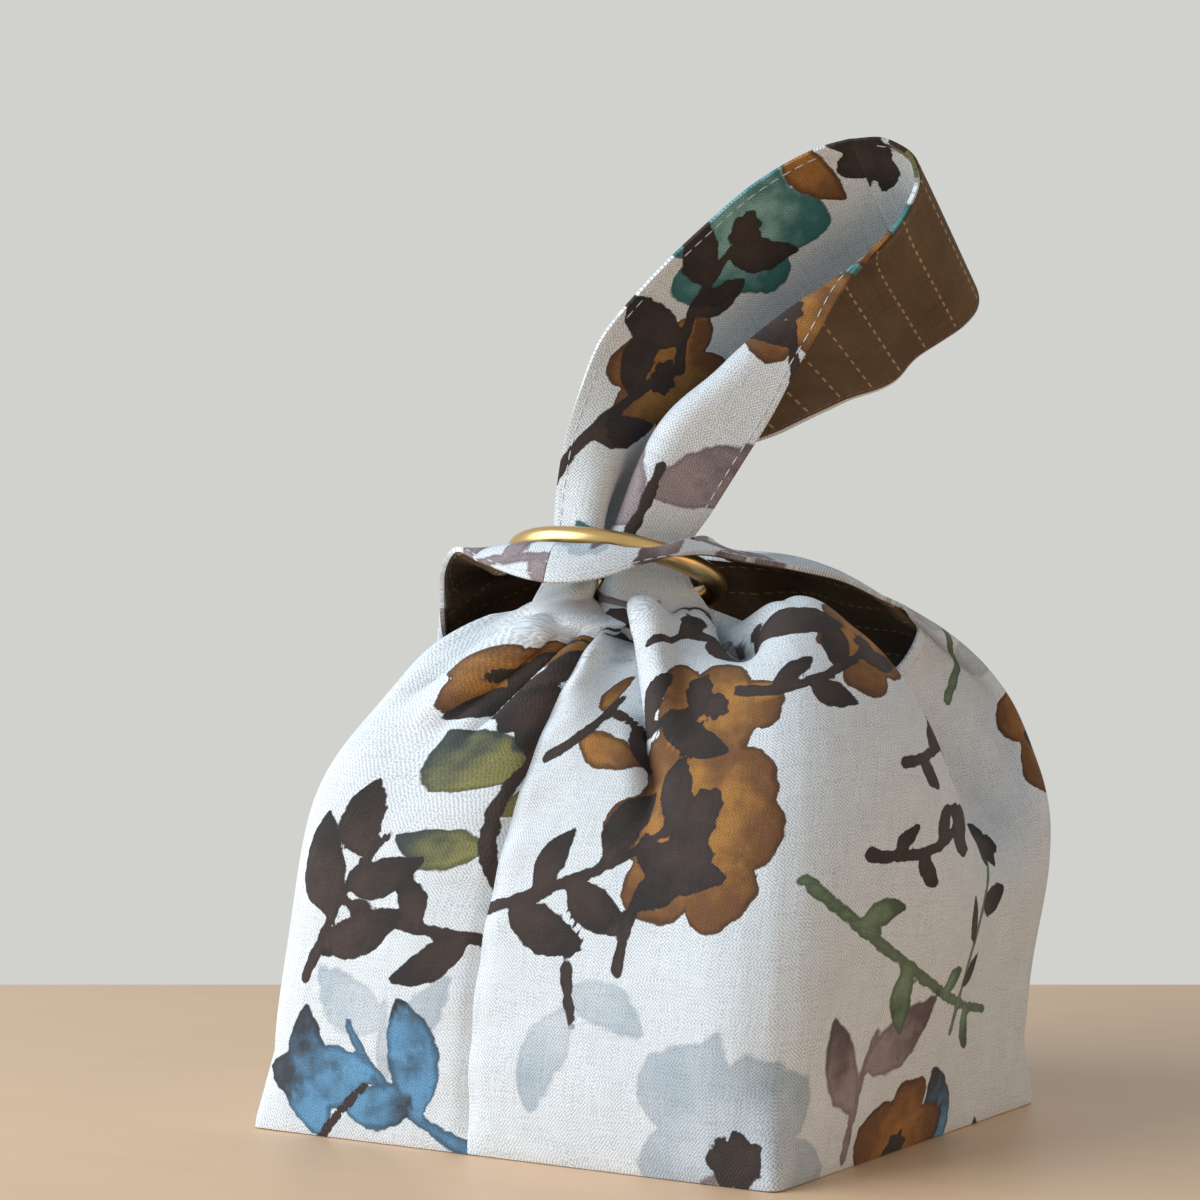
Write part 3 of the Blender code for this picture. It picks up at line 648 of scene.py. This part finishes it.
# %% The layout of the print
# start across and up, heading, length, bend, stem ink, leaf ink, leaf length, pairs of leaves,
# and where there is a blossom its ink, size and petals
right.sprays = [
    (-134, 50, 26, 60, 30, "umber", "umber", 22, 3, "ochre", 18, 5),
    (-96, 40, 66, 34, -46, "umber", "umber", 13, 2, "ochre", 22, 6),
    (-112, 96, 8, 34, 50, "umber", "umber", 17, 2, "ochre", 14, 5),
    (-74, 104, 20, 36, 60, "umber", "umber", 16, 2, "ochre", 15, 5),
    (-126, 84, 50, 24, 60, "umber", "ochre", 19, 1),
    (-58, 60, -22, 92, 26, "sage", "sage", 15, 2),
    (4, 24, 62, 46, -30, "sage", "umber", 14, 2, "umber", 6, 4),
    (-108, 40, -74, 12, 10, "umber", "wash", 29, 1),
    (-96, -8, 24, 32, 30, "mauve", "wash", 42, 1, "wash", 24, 5),
    (-34, 2, 80, 26, -20, "mauve", "mauve", 26, 1),
    (-34, 84, 30, 30, 40, "umber", "umber", 14, 2, "ochre", 13, 5),
    (14, 78, 120, 34, -30, "umber", "blue", 22, 2, "wash", 19, 5),
    (70, 20, 96, 70, 30, "umber", "umber", 20, 3, "ochre", 19, 6),
    (118, 60, 160, 40, 30, "sage", "teal", 24, 2, "teal", 14, 5),
    (40, -30, 150, 60, 30, "umber", "blue", 28, 2, "ochre", 18, 5),
    (-100, -40, 10, 60, 30, "sage", "wash", 26, 2),
    (30, 100, 60, 30, 30, "sage", "wash", 24, 1),
    (-58, 158, 88, 20, 20, "umber", "mauve", 36, 1),
    (-36, 196, 118, 30, 20, "umber", "umber", 20, 1, "ochre", 14, 5),
    (-62, 216, 70, 36, 30, "umber", "ochre", 24, 2, "teal", 15, 5),
    (-40, 262, 108, 24, 20, "olive", "umber", 18, 1, "umber", 9, 5),
    (52, 138, 60, 44, 20, "mauve", "wash", 20, 2, "mauve", 9, 5),
    (60, 182, 96, 34, 20, "mauve", "mauve", 14, 2, "wash", 10, 5),
    (-42, 64, 14, 36, 44, "umber", "umber", 13, 2, "umber", 6, 4),
    (-6, 66, 70, 26, 20, "sage", "umber", 12, 1, "ochre", 11, 5),
    (34, 148, 74, 66, 16, "mauve", "mauve", 17, 3),
    (48, 190, 64, 24, 20, "umber", "umber", 11, 1),
    (-102, 116, 22, 44, 10, "umber", "umber", 17, 2),
    (-76, 132, 60, 26, 10, "umber", "mauve", 18, 1),
    (-88, 122, 24, 30, 10, "umber", "umber", 24, 1)]
left.sprays = [
    (-116, 44, 12, 58, 22, "umber", "umber", 19, 2),
    (-66, 34, 110, 34, 20, "umber", "umber", 25, 2),
    (-106, 56, 62, 44, 30, "umber", "olive", 26, 2, "umber", 8, 5),
    (-118, 0, 34, 46, 40, "blue", "blue", 38, 1),
    (-74, -8, 124, 24, 20, "umber", "blue", 30, 1),
    (-92, 12, 80, 18, 10, "wash", "wash", 24, 1),
    (-92, 98, 20, 26, 30, "umber", "umber", 15, 2, "ochre", 11, 5),
    (-44, 70, 60, 40, 30, "umber", "umber", 18, 2, "ochre", 17, 5),
    (-30, 12, 70, 60, 30, "sage", "sage", 18, 3, "ochre", 20, 6),
    (30, 60, 140, 50, 30, "umber", "teal", 24, 2, "wash", 20, 5),
    (64, 10, 100, 80, 30, "umber", "umber", 20, 3, "ochre", 19, 5),
    (118, 40, 120, 50, 30, "sage", "blue", 26, 2, "mauve", 14, 5),
    (0, -30, 30, 60, 30, "umber", "wash", 28, 2, "ochre", 17, 5),
    (-100, -34, 20, 50, 30, "sage", "blue", 26, 2),
    (-52, 140, 96, 26, 20, "teal", "teal", 30, 1),
    (-28, 176, 128, 34, 24, "umber", "umber", 22, 1, "ochre", 16, 5),
    (-52, 206, 66, 34, 30, "umber", "umber", 20, 2, "teal", 18, 5),
    (-20, 240, 116, 34, 20, "umber", "ochre", 24, 1, "umber", 10, 5),
    (70, 142, 96, 40, 20, "mauve", "mauve", 20, 2, "wash", 12, 5),
    (40, 160, 70, 40, 20, "mauve", "wash", 18, 2, "mauve", 9, 5),
    (22, 186, 66, 34, 16, "mauve", "mauve", 15, 2)]


def print_fields(half, at):
    """Distance into each ink at flat places in mm, and a tone that runs along each motif."""
    fields = {ink: np.full(at.shape[:-1], FAR_OUT) for ink in INKS}
    tone = np.full(at.shape[:-1], 0.5)

    def lay(ink, distance, shade):
        np.copyto(tone, shade, where=distance > np.maximum(fields[ink], -0.6))
        np.maximum(fields[ink], distance, out=fields[ink])

    for number, spray in enumerate(half.sprays):
        across, up, heading, length, bend, stem_ink, leaf_ink, leaf_length, pairs, *bloom = spray
        line, turn = stem_line((across, up), heading, length, bend)
        lay(stem_ink, stroke(at, line, *STEM_WIDTHS), 0.35)
        for k in range(2 * pairs):
            knot = int(STEM_STEPS * (k + 1.2) / (2 * pairs + 1.0))
            side = 1 if (k + number) % 2 else -1
            long = leaf_length * (1.0 - 0.09 * ((3 * k + number) % 4))
            aim = turn[knot] + side * (38 + 7 * ((k + 2 * number) % 3))
            shape = leaf(at, line[knot], aim, long, long * (0.44 + 0.03 * (k % 3)), 0.25 * side)
            x, _ = in_line(at, line[knot], aim)
            lay(leaf_ink, shape, ramp(x, long))
        if bloom:
            ink, size, petals = bloom
            tip = line[-1]
            shape = blossom(at, tip, size, petals, turn[-1] + 20 * number)
            lay(ink, shape, ramp(np.linalg.norm(at - tip, axis=-1), size))
            if size > EYED_SIZE:
                lay("umber", blossom(at, tip, 0.26 * size, 7, 9 * number), 0.4)
    return fields, tone


print("sprays:", len(right.sprays) + len(left.sprays))

# %% [markdown]
# Shader sums are easier to read as Python. A small class wraps one socket, and plus, minus, times
# and divide on it each add one Math node. Colours are mixed by Mix nodes, because a Math node would
# turn them grey. Any other node comes from one method that takes its type, settings and inputs.

# %% A small language for materials
class Wire:
    """One output of a node, which can be added to, multiplied and so on."""

    def __init__(self, nodes, socket):
        self.nodes = nodes
        self.socket = socket

    def combine(self, operation, first, second):
        return self.nodes.math(operation, first, second)

    def __add__(self, other):
        return self.combine("ADD", self, other)

    def __radd__(self, other):
        return self.combine("ADD", other, self)

    def __sub__(self, other):
        return self.combine("SUBTRACT", self, other)

    def __rsub__(self, other):
        return self.combine("SUBTRACT", other, self)

    def __mul__(self, other):
        return self.combine("MULTIPLY", self, other)

    def __rmul__(self, other):
        return self.combine("MULTIPLY", other, self)


class Nodes:
    """A tree of shader nodes: one method makes any node, and one feeds a socket."""

    def __init__(self, tree):
        self.tree = tree

    def feed(self, socket, value):
        if isinstance(value, Wire):
            self.tree.links.new(value.socket, socket)
        elif isinstance(value, tuple) and len(value) == 3 and socket.type == "RGBA":
            socket.default_value = (*value, 1.0)
        else:
            socket.default_value = value

    def node(self, kind, settings, inputs, output=0):
        made = self.tree.nodes.new(kind)
        for name, value in settings.items():
            setattr(made, name, value)
        for name, value in inputs.items():
            self.feed(made.inputs[name], value)
        return Wire(self, made.outputs[output])

    def math(self, operation, *values):
        return self.node("ShaderNodeMath", {"operation": operation}, dict(enumerate(values)))


class Finish(Nodes):
    """A material under construction, with the few steps that cloth and metal need."""

    def __init__(self, name, **surface):
        self.material = bpy.data.materials.new(name)
        self.material.use_nodes = True
        super().__init__(self.material.node_tree)
        self.shader = self.tree.nodes["Principled BSDF"]
        for word, value in surface.items():
            self.shader.inputs[word.replace("_", " ")].default_value = value

    def step(self, value, low, high):
        """0 below low, 1 above high, and a smooth rise between them."""
        return self.node("ShaderNodeMapRange", {"interpolation_type": "SMOOTHSTEP"},
                         {"Value": value, "From Min": low, "From Max": high})

    def wave(self, value):
        return self.math("SINE", value)

    def mix(self, amount, first, second):
        return self.node("ShaderNodeMix", {"data_type": "RGBA"}, {0: amount, 6: first, 7: second},
                         output=2)

    def field(self, name):
        return self.node("ShaderNodeAttribute", {"attribute_name": name}, {}, output=2)

    def noise(self, place, scale, detail):
        return self.node("ShaderNodeTexNoise", {}, {"Vector": place, "Scale": scale, "Detail": detail})

    def flat(self):
        """The cloth's flat place in metres: as a vector, and its two numbers."""
        place = self.node("ShaderNodeUVMap", {"uv_map": "cloth"}, {})
        across = self.node("ShaderNodeSeparateXYZ", {}, {0: place})
        return place, across, Wire(self, across.socket.node.outputs[1])

    def solid(self):
        """The place in the piece itself, in metres."""
        return self.node("ShaderNodeTexCoord", {}, {}, output=3)

    def stretched(self, place, across, up):
        """The place drawn out, so that a noise on it makes long slubs."""
        return self.node("ShaderNodeVectorMath", {"operation": "MULTIPLY"},
                         {0: place, 1: (across, up, 1.0)})

    def threads(self, place, long, fine, detail):
        """Noise drawn out across and up the cloth: the slubs of its weft and warp."""
        return (self.noise(self.stretched(place, long, fine), 1.0, detail),
                self.noise(self.stretched(place, fine, long), 1.0, detail))

    def relief(self, height, distance, strength):
        values = {"Height": height, "Distance": distance, "Strength": strength}
        self.feed(self.shader.inputs["Normal"], self.node("ShaderNodeBump", {}, values))

    def colour(self, value):
        self.feed(self.shader.inputs["Base Color"], value)


print("shader language ready")

# %% [markdown]
# The outer cloth is a plain woven linen with uneven threads. Two crossing sine waves give the over
# and under of the weave, and noise drawn out along each direction gives its slubs. The inks are
# laid like watercolour: each edge wanders a little, pigment gathers along it, and the body of a
# motif runs from a light to a dark tone.

# %% Printed linen
THREAD = 0.00078        # one thread of the linen, in metres
UNEVEN = 9.0            # how far the slubs push the threads out of line, in radians
WHITE = (0.77, 0.81, 0.85)
# painted highlight for the thread tops, and painted shade for the gaps between the threads
THREAD_TOP_HIGHLIGHT = (0.86, 0.87, 0.88)
THREAD_GAP_SHADE = (0.05, 0.052, 0.06)
# ink: light tone, dark tone, edge softness in mm, how much pigment gathers at the edge
INK_TONES = {"wash": ((0.50, 0.56, 0.62), (0.30, 0.38, 0.46), 1.1, 0.25),
             "mauve": ((0.36, 0.29, 0.30), (0.12, 0.085, 0.085), 0.8, 0.35),
             "sage": ((0.22, 0.31, 0.19), (0.075, 0.11, 0.065), 0.35, 0.5),
             "teal": ((0.27, 0.50, 0.50), (0.035, 0.17, 0.17), 0.5, 0.4),
             "blue": ((0.13, 0.33, 0.55), (0.035, 0.04, 0.05), 0.4, 0.6),
             "olive": ((0.24, 0.23, 0.08), (0.045, 0.06, 0.055), 0.4, 0.5),
             "ochre": ((0.44, 0.20, 0.040), (0.17, 0.068, 0.020), 0.3, 0.85),
             "umber": ((0.056, 0.034, 0.027), (0.020, 0.014, 0.012), 0.3, 0.3)}


def printed_linen():
    cloth = Finish("printed_linen", Roughness=0.82, Sheen_Weight=0.05, Sheen_Roughness=0.5,
                   Specular_IOR_Level=0.25)
    place, across, up = cloth.flat()
    weft, warp = cloth.threads(place, 110.0, 1500.0, 2.0)
    wander = (cloth.noise(place, 300.0, 4.0) - 0.5) * 4.4
    broad = cloth.noise(place, 90.0, 3.0)
    pools = cloth.noise(place, 210.0, 4.0)
    turn = 2 * math.pi / THREAD
    across, up = across * turn + (weft - 0.5) * UNEVEN, up * turn + (warp - 0.5) * UNEVEN
    threads = cloth.wave(across) * cloth.wave(up)
    grain = (weft + warp) * 0.5
    tone = cloth.field("tone")
    paint = cloth.mix(cloth.step(broad, 0.3, 0.75), WHITE, tuple(0.95 * c for c in WHITE))
    for ink in INKS:
        light, dark, soft, gather = INK_TONES[ink]
        inside = cloth.field(ink) + wander * (0.35 + 0.25 * soft)
        cover = cloth.step(inside, -0.5 * soft, 0.5 * soft)
        body = cloth.mix(cloth.step(tone * 0.65 + pools * 0.7, 0.40, 0.95), light, dark)
        edge = (1 - cloth.step(inside + (pools - 0.5) * 2.4, 0.1, 1.5)) * gather
        body = cloth.mix(edge, body, tuple(0.45 * c for c in dark))
        if ink == "wash":
            cover = cover * (0.35 + 0.55 * broad)
        paint = cloth.mix(cover, paint, body)
    # painted highlight on the tops of the threads, which also hold less ink, and painted shade in the
    # dark gaps between them
    paint = cloth.mix(cloth.step(threads + (grain - 0.5) * 3.2, 0.2, 1.5) * 0.05, paint, THREAD_TOP_HIGHLIGHT)
    paint = cloth.mix(cloth.step(threads + (grain - 0.5) * 1.5, 0.1, -0.8) * 0.52, paint, THREAD_GAP_SHADE)
    cloth.colour(paint)
    cloth.feed(cloth.shader.inputs["Roughness"], 0.74 + 0.16 * grain)
    cloth.relief(threads * 0.35 + grain * 1.5, 0.00016, 0.8)
    return cloth.material


linen = printed_linen()
print("printed linen:", len(linen.node_tree.nodes), "nodes")

# %% [markdown]
# The lining is a brown cotton with light dashed pinstripes. The stripes run across the straps, so
# they follow the flat cloth's height, and dashes come from its width.

# %% Striped lining
# all lengths in metres
STRIPE_PITCH = 0.0088
STRIPE_HALF = 0.00022
DASH = 0.0026
LINING_THREAD = 0.0006
BROWNS = (0.110, 0.072, 0.042), (0.165, 0.112, 0.070)
STRIPE = (0.55, 0.42, 0.25)
# painted shade for the gaps between the lining's threads
LINING_GAP_SHADE = (0.04, 0.028, 0.02)


def striped_lining():
    cloth = Finish("striped_lining", Roughness=0.8, Specular_IOR_Level=0.2)
    place, across, up = cloth.flat()
    weft, warp = cloth.threads(place, 120.0, 1900.0, 1.0)
    turn = 2 * math.pi / LINING_THREAD
    threads = cloth.wave(across * turn) * cloth.wave(up * turn)
    grain = (weft + warp) * 0.5
    within = cloth.math("PINGPONG", up, STRIPE_PITCH / 2)
    stripe = 1 - cloth.step(within, STRIPE_HALF * 0.6, STRIPE_HALF * 1.5)
    dashes = cloth.step(cloth.wave(across * (2 * math.pi / DASH)), -0.35, 0.15)
    broad = cloth.noise(place, 60.0, 3.0)
    brown = cloth.mix(cloth.step(broad * 0.6 + grain * 0.4, 0.35, 0.65), *BROWNS)
    brown = cloth.mix(stripe * dashes * (0.45 + 0.5 * grain), brown, STRIPE)
    # painted shade in the gaps between the threads
    brown = cloth.mix(cloth.step(threads, 0.0, -0.9) * 0.35, brown, LINING_GAP_SHADE)
    cloth.colour(brown)
    cloth.relief(threads * 0.5 + grain, 0.00012, 0.6)
    return cloth.material


lining = striped_lining()
print("striped lining:", len(lining.node_tree.nodes), "nodes")

# %% [markdown]
# The ring is a cast brass ring with a satin finish. Faint lines of polishing run along the wire,
# and the metal is a little duller in patches where fingers touch it. The thread is a pale cotton.

# %% Satin brass and sewing thread
def satin_brass():
    metal = Finish("satin_brass", Roughness=0.3, Metallic=1.0)
    place = metal.solid()
    patches = metal.noise(place, 160.0, 3.0)
    lines = metal.noise(metal.stretched(place, 500.0, 500.0), 9.0, 2.0)
    metal.colour(metal.mix(patches, (0.70, 0.49, 0.215), (0.58, 0.39, 0.16)))
    metal.feed(metal.shader.inputs["Roughness"], 0.24 + 0.16 * patches)
    metal.relief(lines, 0.00003, 0.35)
    return metal.material


def sewing_thread(name, colour):
    thread = Finish(name, Roughness=0.7, Sheen_Weight=0.2)
    twist = thread.noise(thread.solid(), 2600.0, 1.0)
    thread.colour(thread.mix(twist, colour, tuple(0.72 * c for c in colour)))
    thread.relief(twist, 0.00008, 0.5)
    return thread.material


brass = satin_brass()
pale_thread = sewing_thread("pale_thread", (0.66, 0.68, 0.69))
tan_thread = sewing_thread("tan_thread", (0.20, 0.145, 0.10))
print("brass and thread ready")

# %% [markdown]
# Now the cloth is cut and shaped. Each half becomes an outer panel and a lining panel from the same
# surface. A Solidify modifier gives the thickness on the right side of that surface, and a small
# bevel rounds the turned edge of the outer cloth, which is what shows along the neckline.

# %% Cut and shape the four panels
SKIN = 0.25             # how far the outer cloth reaches in behind its face, in mm
OUTER_THICK = OUTER_CLOTH + SKIN
LINING_TOP = SKIN + 0.05        # how far the lining's face lies behind the shared surface
LINING_THICK = 0.45
LINING_INSET = 0.8      # how far the lining stops short of a free edge
EDGE_ROUND = 0.3
WELD = 0.04             # points of two grids nearer than this are one
STITCH_LIFT = 0.02      # how far a stitch's middle stands off the cloth

HALVES = ((right, "right"), (left, "left"))
# layer: fineness of its grids, inset of a free edge, thickness, how far its face lies behind the
# surface, cloth, thread, and the height of its stitches
LAYERS = {"outer": (1.0, 0.0, OUTER_THICK, -OUTER_CLOTH, linen, pale_thread, OUTER_CLOTH + STITCH_LIFT),
          "lining": (0.6, LINING_INSET, LINING_THICK, LINING_TOP, lining, tan_thread,
                     -(LINING_TOP + LINING_THICK) - STITCH_LIFT)}


def object_from(name, shape, material, smooth=True):
    """A Blender object made from a bmesh, with one material, in the scene."""
    mesh = bpy.data.meshes.new(name)
    shape.to_mesh(mesh)
    shape.free()
    if smooth:
        mesh.shade_smooth()
    mesh.materials.append(material)
    obj = bpy.data.objects.new(name, mesh)
    bpy.context.scene.collection.objects.link(obj)
    return obj


def shape_panel(name, half, detail, inset, material):
    """One open sheet: four grids shaped, merged at their borders, with flat places and print."""
    parts = lattices(half, detail, inset)
    across, near, far = columns(detail)
    flats = flat_places(parts, near, far)
    cloth = bmesh.new()
    uv = cloth.loops.layers.uv.new("cloth")
    printed = INKS + ("tone",) if material is linen else ()
    layers = {word: cloth.verts.layers.float.new(word) for word in printed}
    for part, flat in zip(parts, flats):
        marks = []
        if layers:
            fields, tone = print_fields(half, flat)
            marks = [(layers[ink], fields[ink]) for ink in INKS] + [(layers["tone"], tone)]
        lay_grid(cloth, turned(part, VIEW_TURN), flat, half.side < 0, uv, marks)
    bmesh.ops.remove_doubles(cloth, verts=cloth.verts, dist=WELD * MM)
    return object_from(name, cloth, material), parts, flats


def give_thickness(panel, thick, top):
    """Cloth from top mm behind the surface (or in front, if negative) and thick mm deep."""
    body = panel.modifiers.new("thickness", "SOLIDIFY")
    body.thickness = thick * MM
    body.offset = 2 * (-top / thick) - 1
    body.use_even_offset = False
    body.use_quality_normals = True
    body.use_rim = True


def cloth_area(parts):
    """Area of the shaped cloth in square metres, which is also the area it was cut to."""
    total = 0.0
    for part in parts:
        one = np.cross(part[1:, :-1] - part[:-1, :-1], part[:-1, 1:] - part[:-1, :-1])
        two = np.cross(part[1:, :-1] - part[1:, 1:], part[:-1, 1:] - part[1:, 1:])
        total += 0.5 * (np.linalg.norm(one, axis=2).sum() + np.linalg.norm(two, axis=2).sum())
    return total * MM * MM


shaped = {}
for half, word in HALVES:
    for layer, (detail, inset, thick, top, material, _, _) in LAYERS.items():
        name = "cloth_" + layer + "_" + word
        panel, parts, flats = shape_panel(name, half, detail, inset, material)
        give_thickness(panel, thick, top)
        if layer == "outer":
            soft_edge = panel.modifiers.new("turned edge", "BEVEL")
            soft_edge.width = EDGE_ROUND * MM
            soft_edge.segments = 2
            soft_edge.limit_method = "ANGLE"
            soft_edge.angle_limit = math.radians(62)
        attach(panel, "bag")
        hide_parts(layer + "_panel_" + word)
        area = cloth_area(parts)
        shaped[layer, word] = parts

# %% [markdown]
# The neckline and the strap edges are topstitched about 2 mm in from the turned edge. Each stitch
# is a small round-ended bar that lies on the cloth, so it casts its own shadow. They are laid one
# pitch apart along lines that run through the shaped cloth.

# %% Topstitching
STITCH_PITCH = 3.1
STITCH_LONG = 2.35
STITCH_THICK = 0.30
STITCH_IN = 2.0         # distance in from the edge
SEWN_HEIGHT = 115.0     # cloth from the base up to the mouth, near enough


def surface_line(part, rows, column, lift, side):
    """A line of points through a lattice, lifted off the cloth along its face."""
    up = np.gradient(part, axis=0)
    across = np.gradient(part, axis=1)
    face = unit(np.cross(across, up)) * side
    return (part + face * lift)[rows, column], face[rows, column]


def sew(stitches, line, faces):
    """Stitches laid along one line."""
    steps = np.linalg.norm(np.diff(line, axis=0), axis=1)
    run = np.concatenate([[0], np.cumsum(steps)])
    count = int(run[-1] / STITCH_PITCH)
    for k in range(count):
        middle = (k + 0.5) * STITCH_PITCH
        start, end = (read_line(middle + s * STITCH_LONG / 2, run, line) for s in (-1, 1))
        ahead = Vector(end - start).normalized()
        beside = Vector(read_line(middle, run, faces)).normalized().cross(ahead).normalized()
        axes = Matrix((ahead, beside, ahead.cross(beside))).transposed().to_4x4()
        sizes = Matrix.Diagonal((STITCH_LONG / 2 * MM, STITCH_THICK / 2 * MM, STITCH_THICK / 2 * MM, 1))
        matrix = Matrix.Translation(Vector((start + end) / 2 * MM)) @ axes @ sizes
        made = bmesh.ops.create_uvsphere(stitches, u_segments=6, v_segments=5, radius=1.0)
        bmesh.ops.transform(stitches, matrix=matrix @ Matrix.Rotation(math.radians(90), 4, "Y"),
                            verts=made["verts"])
    return count


for half, word in HALVES:
    for layer, (detail, _, _, _, _, thread, lift) in LAYERS.items():
        base, side, long_part, short_part = [turned(part, VIEW_TURN) for part in shaped[layer, word]]
        _, near, far = columns(detail)
        inset = max(1, round(STITCH_IN / (STRAP_WIDTH / near)))
        rows_in = max(1, round(STITCH_IN / (SEWN_HEIGHT / (side.shape[0] - 1))))
        mouth = slice(near - inset, side.shape[1] - 1 - far + inset)
        strap = slice(2, -3)
        stitches = bmesh.new()
        count = 0
        for part, rows, column in ((side, -1 - rows_in, mouth), (long_part, strap, inset),
                                   (long_part, strap, near - inset), (short_part, strap, 2),
                                   (short_part, strap, far - 2)):
            count += sew(stitches, *surface_line(part, rows, column, lift, half.side))
        sewn = object_from("stitches_" + layer + "_" + word, stitches, thread)
        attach(sewn, "bag")
        print("stitches on the", word, layer + ":", count)

# %% [markdown]
# The ring is a round wire bent to a circle. A small circle is spun about the ring's own axis and
# the whole is leaned as the bag's neck holds it. It is the one loose piece, so it rides on its own
# body and can slide a little up the handle's legs.

# %% The neck ring
WIRE_SIDES = 28
RING_STEPS = 120
wire = bmesh.new()
bmesh.ops.create_circle(wire, segments=WIRE_SIDES, radius=RING_WIRE / 2 * MM)
upright = Matrix.Rotation(math.radians(90), 3, "X")
bmesh.ops.rotate(wire, verts=wire.verts, cent=(0, 0, 0), matrix=upright)
bmesh.ops.translate(wire, verts=wire.verts, vec=((RING_OUTER - RING_WIRE) / 2 * MM, 0, 0))
bmesh.ops.spin(wire, geom=wire.verts[:] + wire.edges[:], cent=(0, 0, 0), axis=(0, 0, 1),
               angle=2 * math.pi, steps=RING_STEPS, use_merge=True, use_duplicate=False)
bmesh.ops.remove_doubles(wire, verts=wire.verts, dist=1e-7)
lean = Vector(turned(np.array(RING_LEAN), VIEW_TURN)).to_track_quat("Z", "Y").to_matrix().to_4x4()
move = Matrix.Translation(Vector(turned(np.array(RING_CENTRE), VIEW_TURN) * MM))
bmesh.ops.transform(wire, matrix=move @ lean, verts=wire.verts)
bmesh.ops.recalc_face_normals(wire, faces=wire.faces)
ring = object_from("brass_ring", wire, brass)
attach(ring, "ring")
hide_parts("neck_ring")
print("ring:", len(ring.data.polygons), "faces, across", RING_OUTER, "mm")

# %% [markdown]
# The bag stands on a plain pale table in soft daylight that comes from the left, and the wood
# throws a little warm light back at its shaded side. The camera stands where the photographer
# stood: at the height of the ring, turned a little off the front face. The background comes from
# what the camera sees of the world, so no lamp has to light it.

# %% Table, light and camera
TABLE_WIDE, TABLE_DEEP = 3.0, 1.6       # metres
TABLE_BACK = 0.216      # how far it reaches behind the bag


def table():
    """A flat table top under the bag, square to the camera."""
    top = bmesh.new()
    bmesh.ops.create_grid(top, x_segments=1, y_segments=1, size=0.5)
    bmesh.ops.scale(top, vec=(TABLE_WIDE, TABLE_DEEP, 1.0), verts=top.verts)
    bmesh.ops.translate(top, vec=(0, TABLE_BACK - TABLE_DEEP / 2, 0), verts=top.verts)
    bmesh.ops.rotate(top, verts=top.verts, cent=(0, 0, 0), matrix=Matrix.Rotation(VIEW_TURN, 3, "Z"))
    wood = Finish("pale_table", Roughness=0.45)
    place = wood.solid()
    grain = wood.noise(wood.stretched(place, 4.0, 40.0), 2.0, 3.0)
    patches = wood.noise(place, 1.2, 1.0)
    wood.colour(wood.mix(grain * 0.6 + patches * 0.4, (0.80, 0.53, 0.33), (0.69, 0.44, 0.265)))
    obj = object_from("table_top", top, wood.material, smooth=False)
    obj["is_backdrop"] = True


def lamp(name, across, away, up, size, power, colour):
    """A soft square lamp, placed in view axes in mm and aimed at the bag's middle."""
    light = bpy.data.lights.new(name, "AREA")
    light.energy = power
    light.size = size
    light.color = colour
    obj = bpy.data.objects.new(name, light)
    obj.location = Vector(turned(np.array([across, away, up], float), VIEW_TURN) * MM)
    aim = Vector((0, 0, 0.1)) - obj.location
    obj.rotation_euler = aim.to_track_quat("-Z", "Y").to_euler()
    bpy.context.scene.collection.objects.link(obj)


table()
lamp("window_light", -870, -260, 420, 1.0, 15.2, (0.91, 0.965, 1.0))
lamp("wood_bounce", 900, -500, 150, 1.0, 4.2, (1.0, 0.64, 0.34))

world = bpy.data.worlds.new("pale_room")
bpy.context.scene.world = world
world.use_nodes = True
room = Nodes(world.node_tree)
sky = room.tree.nodes["Background"]
room.feed(sky.inputs["Color"], (0.64, 0.85, 1.0))
room.feed(sky.inputs["Strength"], 0.40)
wall_seen = room.node("ShaderNodeBackground", {}, {"Color": (0.64, 0.645, 0.62), "Strength": 1.0})
path = room.tree.nodes.new("ShaderNodeLightPath").outputs
seen = room.math("MAXIMUM", Wire(room, path["Is Camera Ray"]), Wire(room, path["Is Glossy Ray"]))
choice = room.node("ShaderNodeMixShader", {}, {0: seen, 1: Wire(room, sky.outputs[0]), 2: wall_seen})
room.feed(room.tree.nodes["World Output"].inputs["Surface"], choice)

camera_data = bpy.data.cameras.new("photo_camera")
camera_data.lens = 90.0
camera_data.sensor_width = 36.0
camera = bpy.data.objects.new("photo_camera", camera_data)
camera.location = (0.3506, -0.5721, 0.120)
camera.rotation_euler = (math.radians(90 - 0.4), 0, VIEW_TURN)
bpy.context.scene.collection.objects.link(camera)
bpy.context.scene.camera = camera
bpy.context.scene.view_settings.view_transform = "Standard"
print("camera at", [round(c, 3) for c in camera.location])

# %% [markdown]
# The dressed bag's bounds are printed beside those of the solids. The dressed bag has
# to stay as big as the solids.

# %% Sizes and finish
dressed_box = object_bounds()
for word, box in (("solids", solid_box), ("dressed", dressed_box)):
    print(word, [[round(v, 4) for v in c] for c in box])
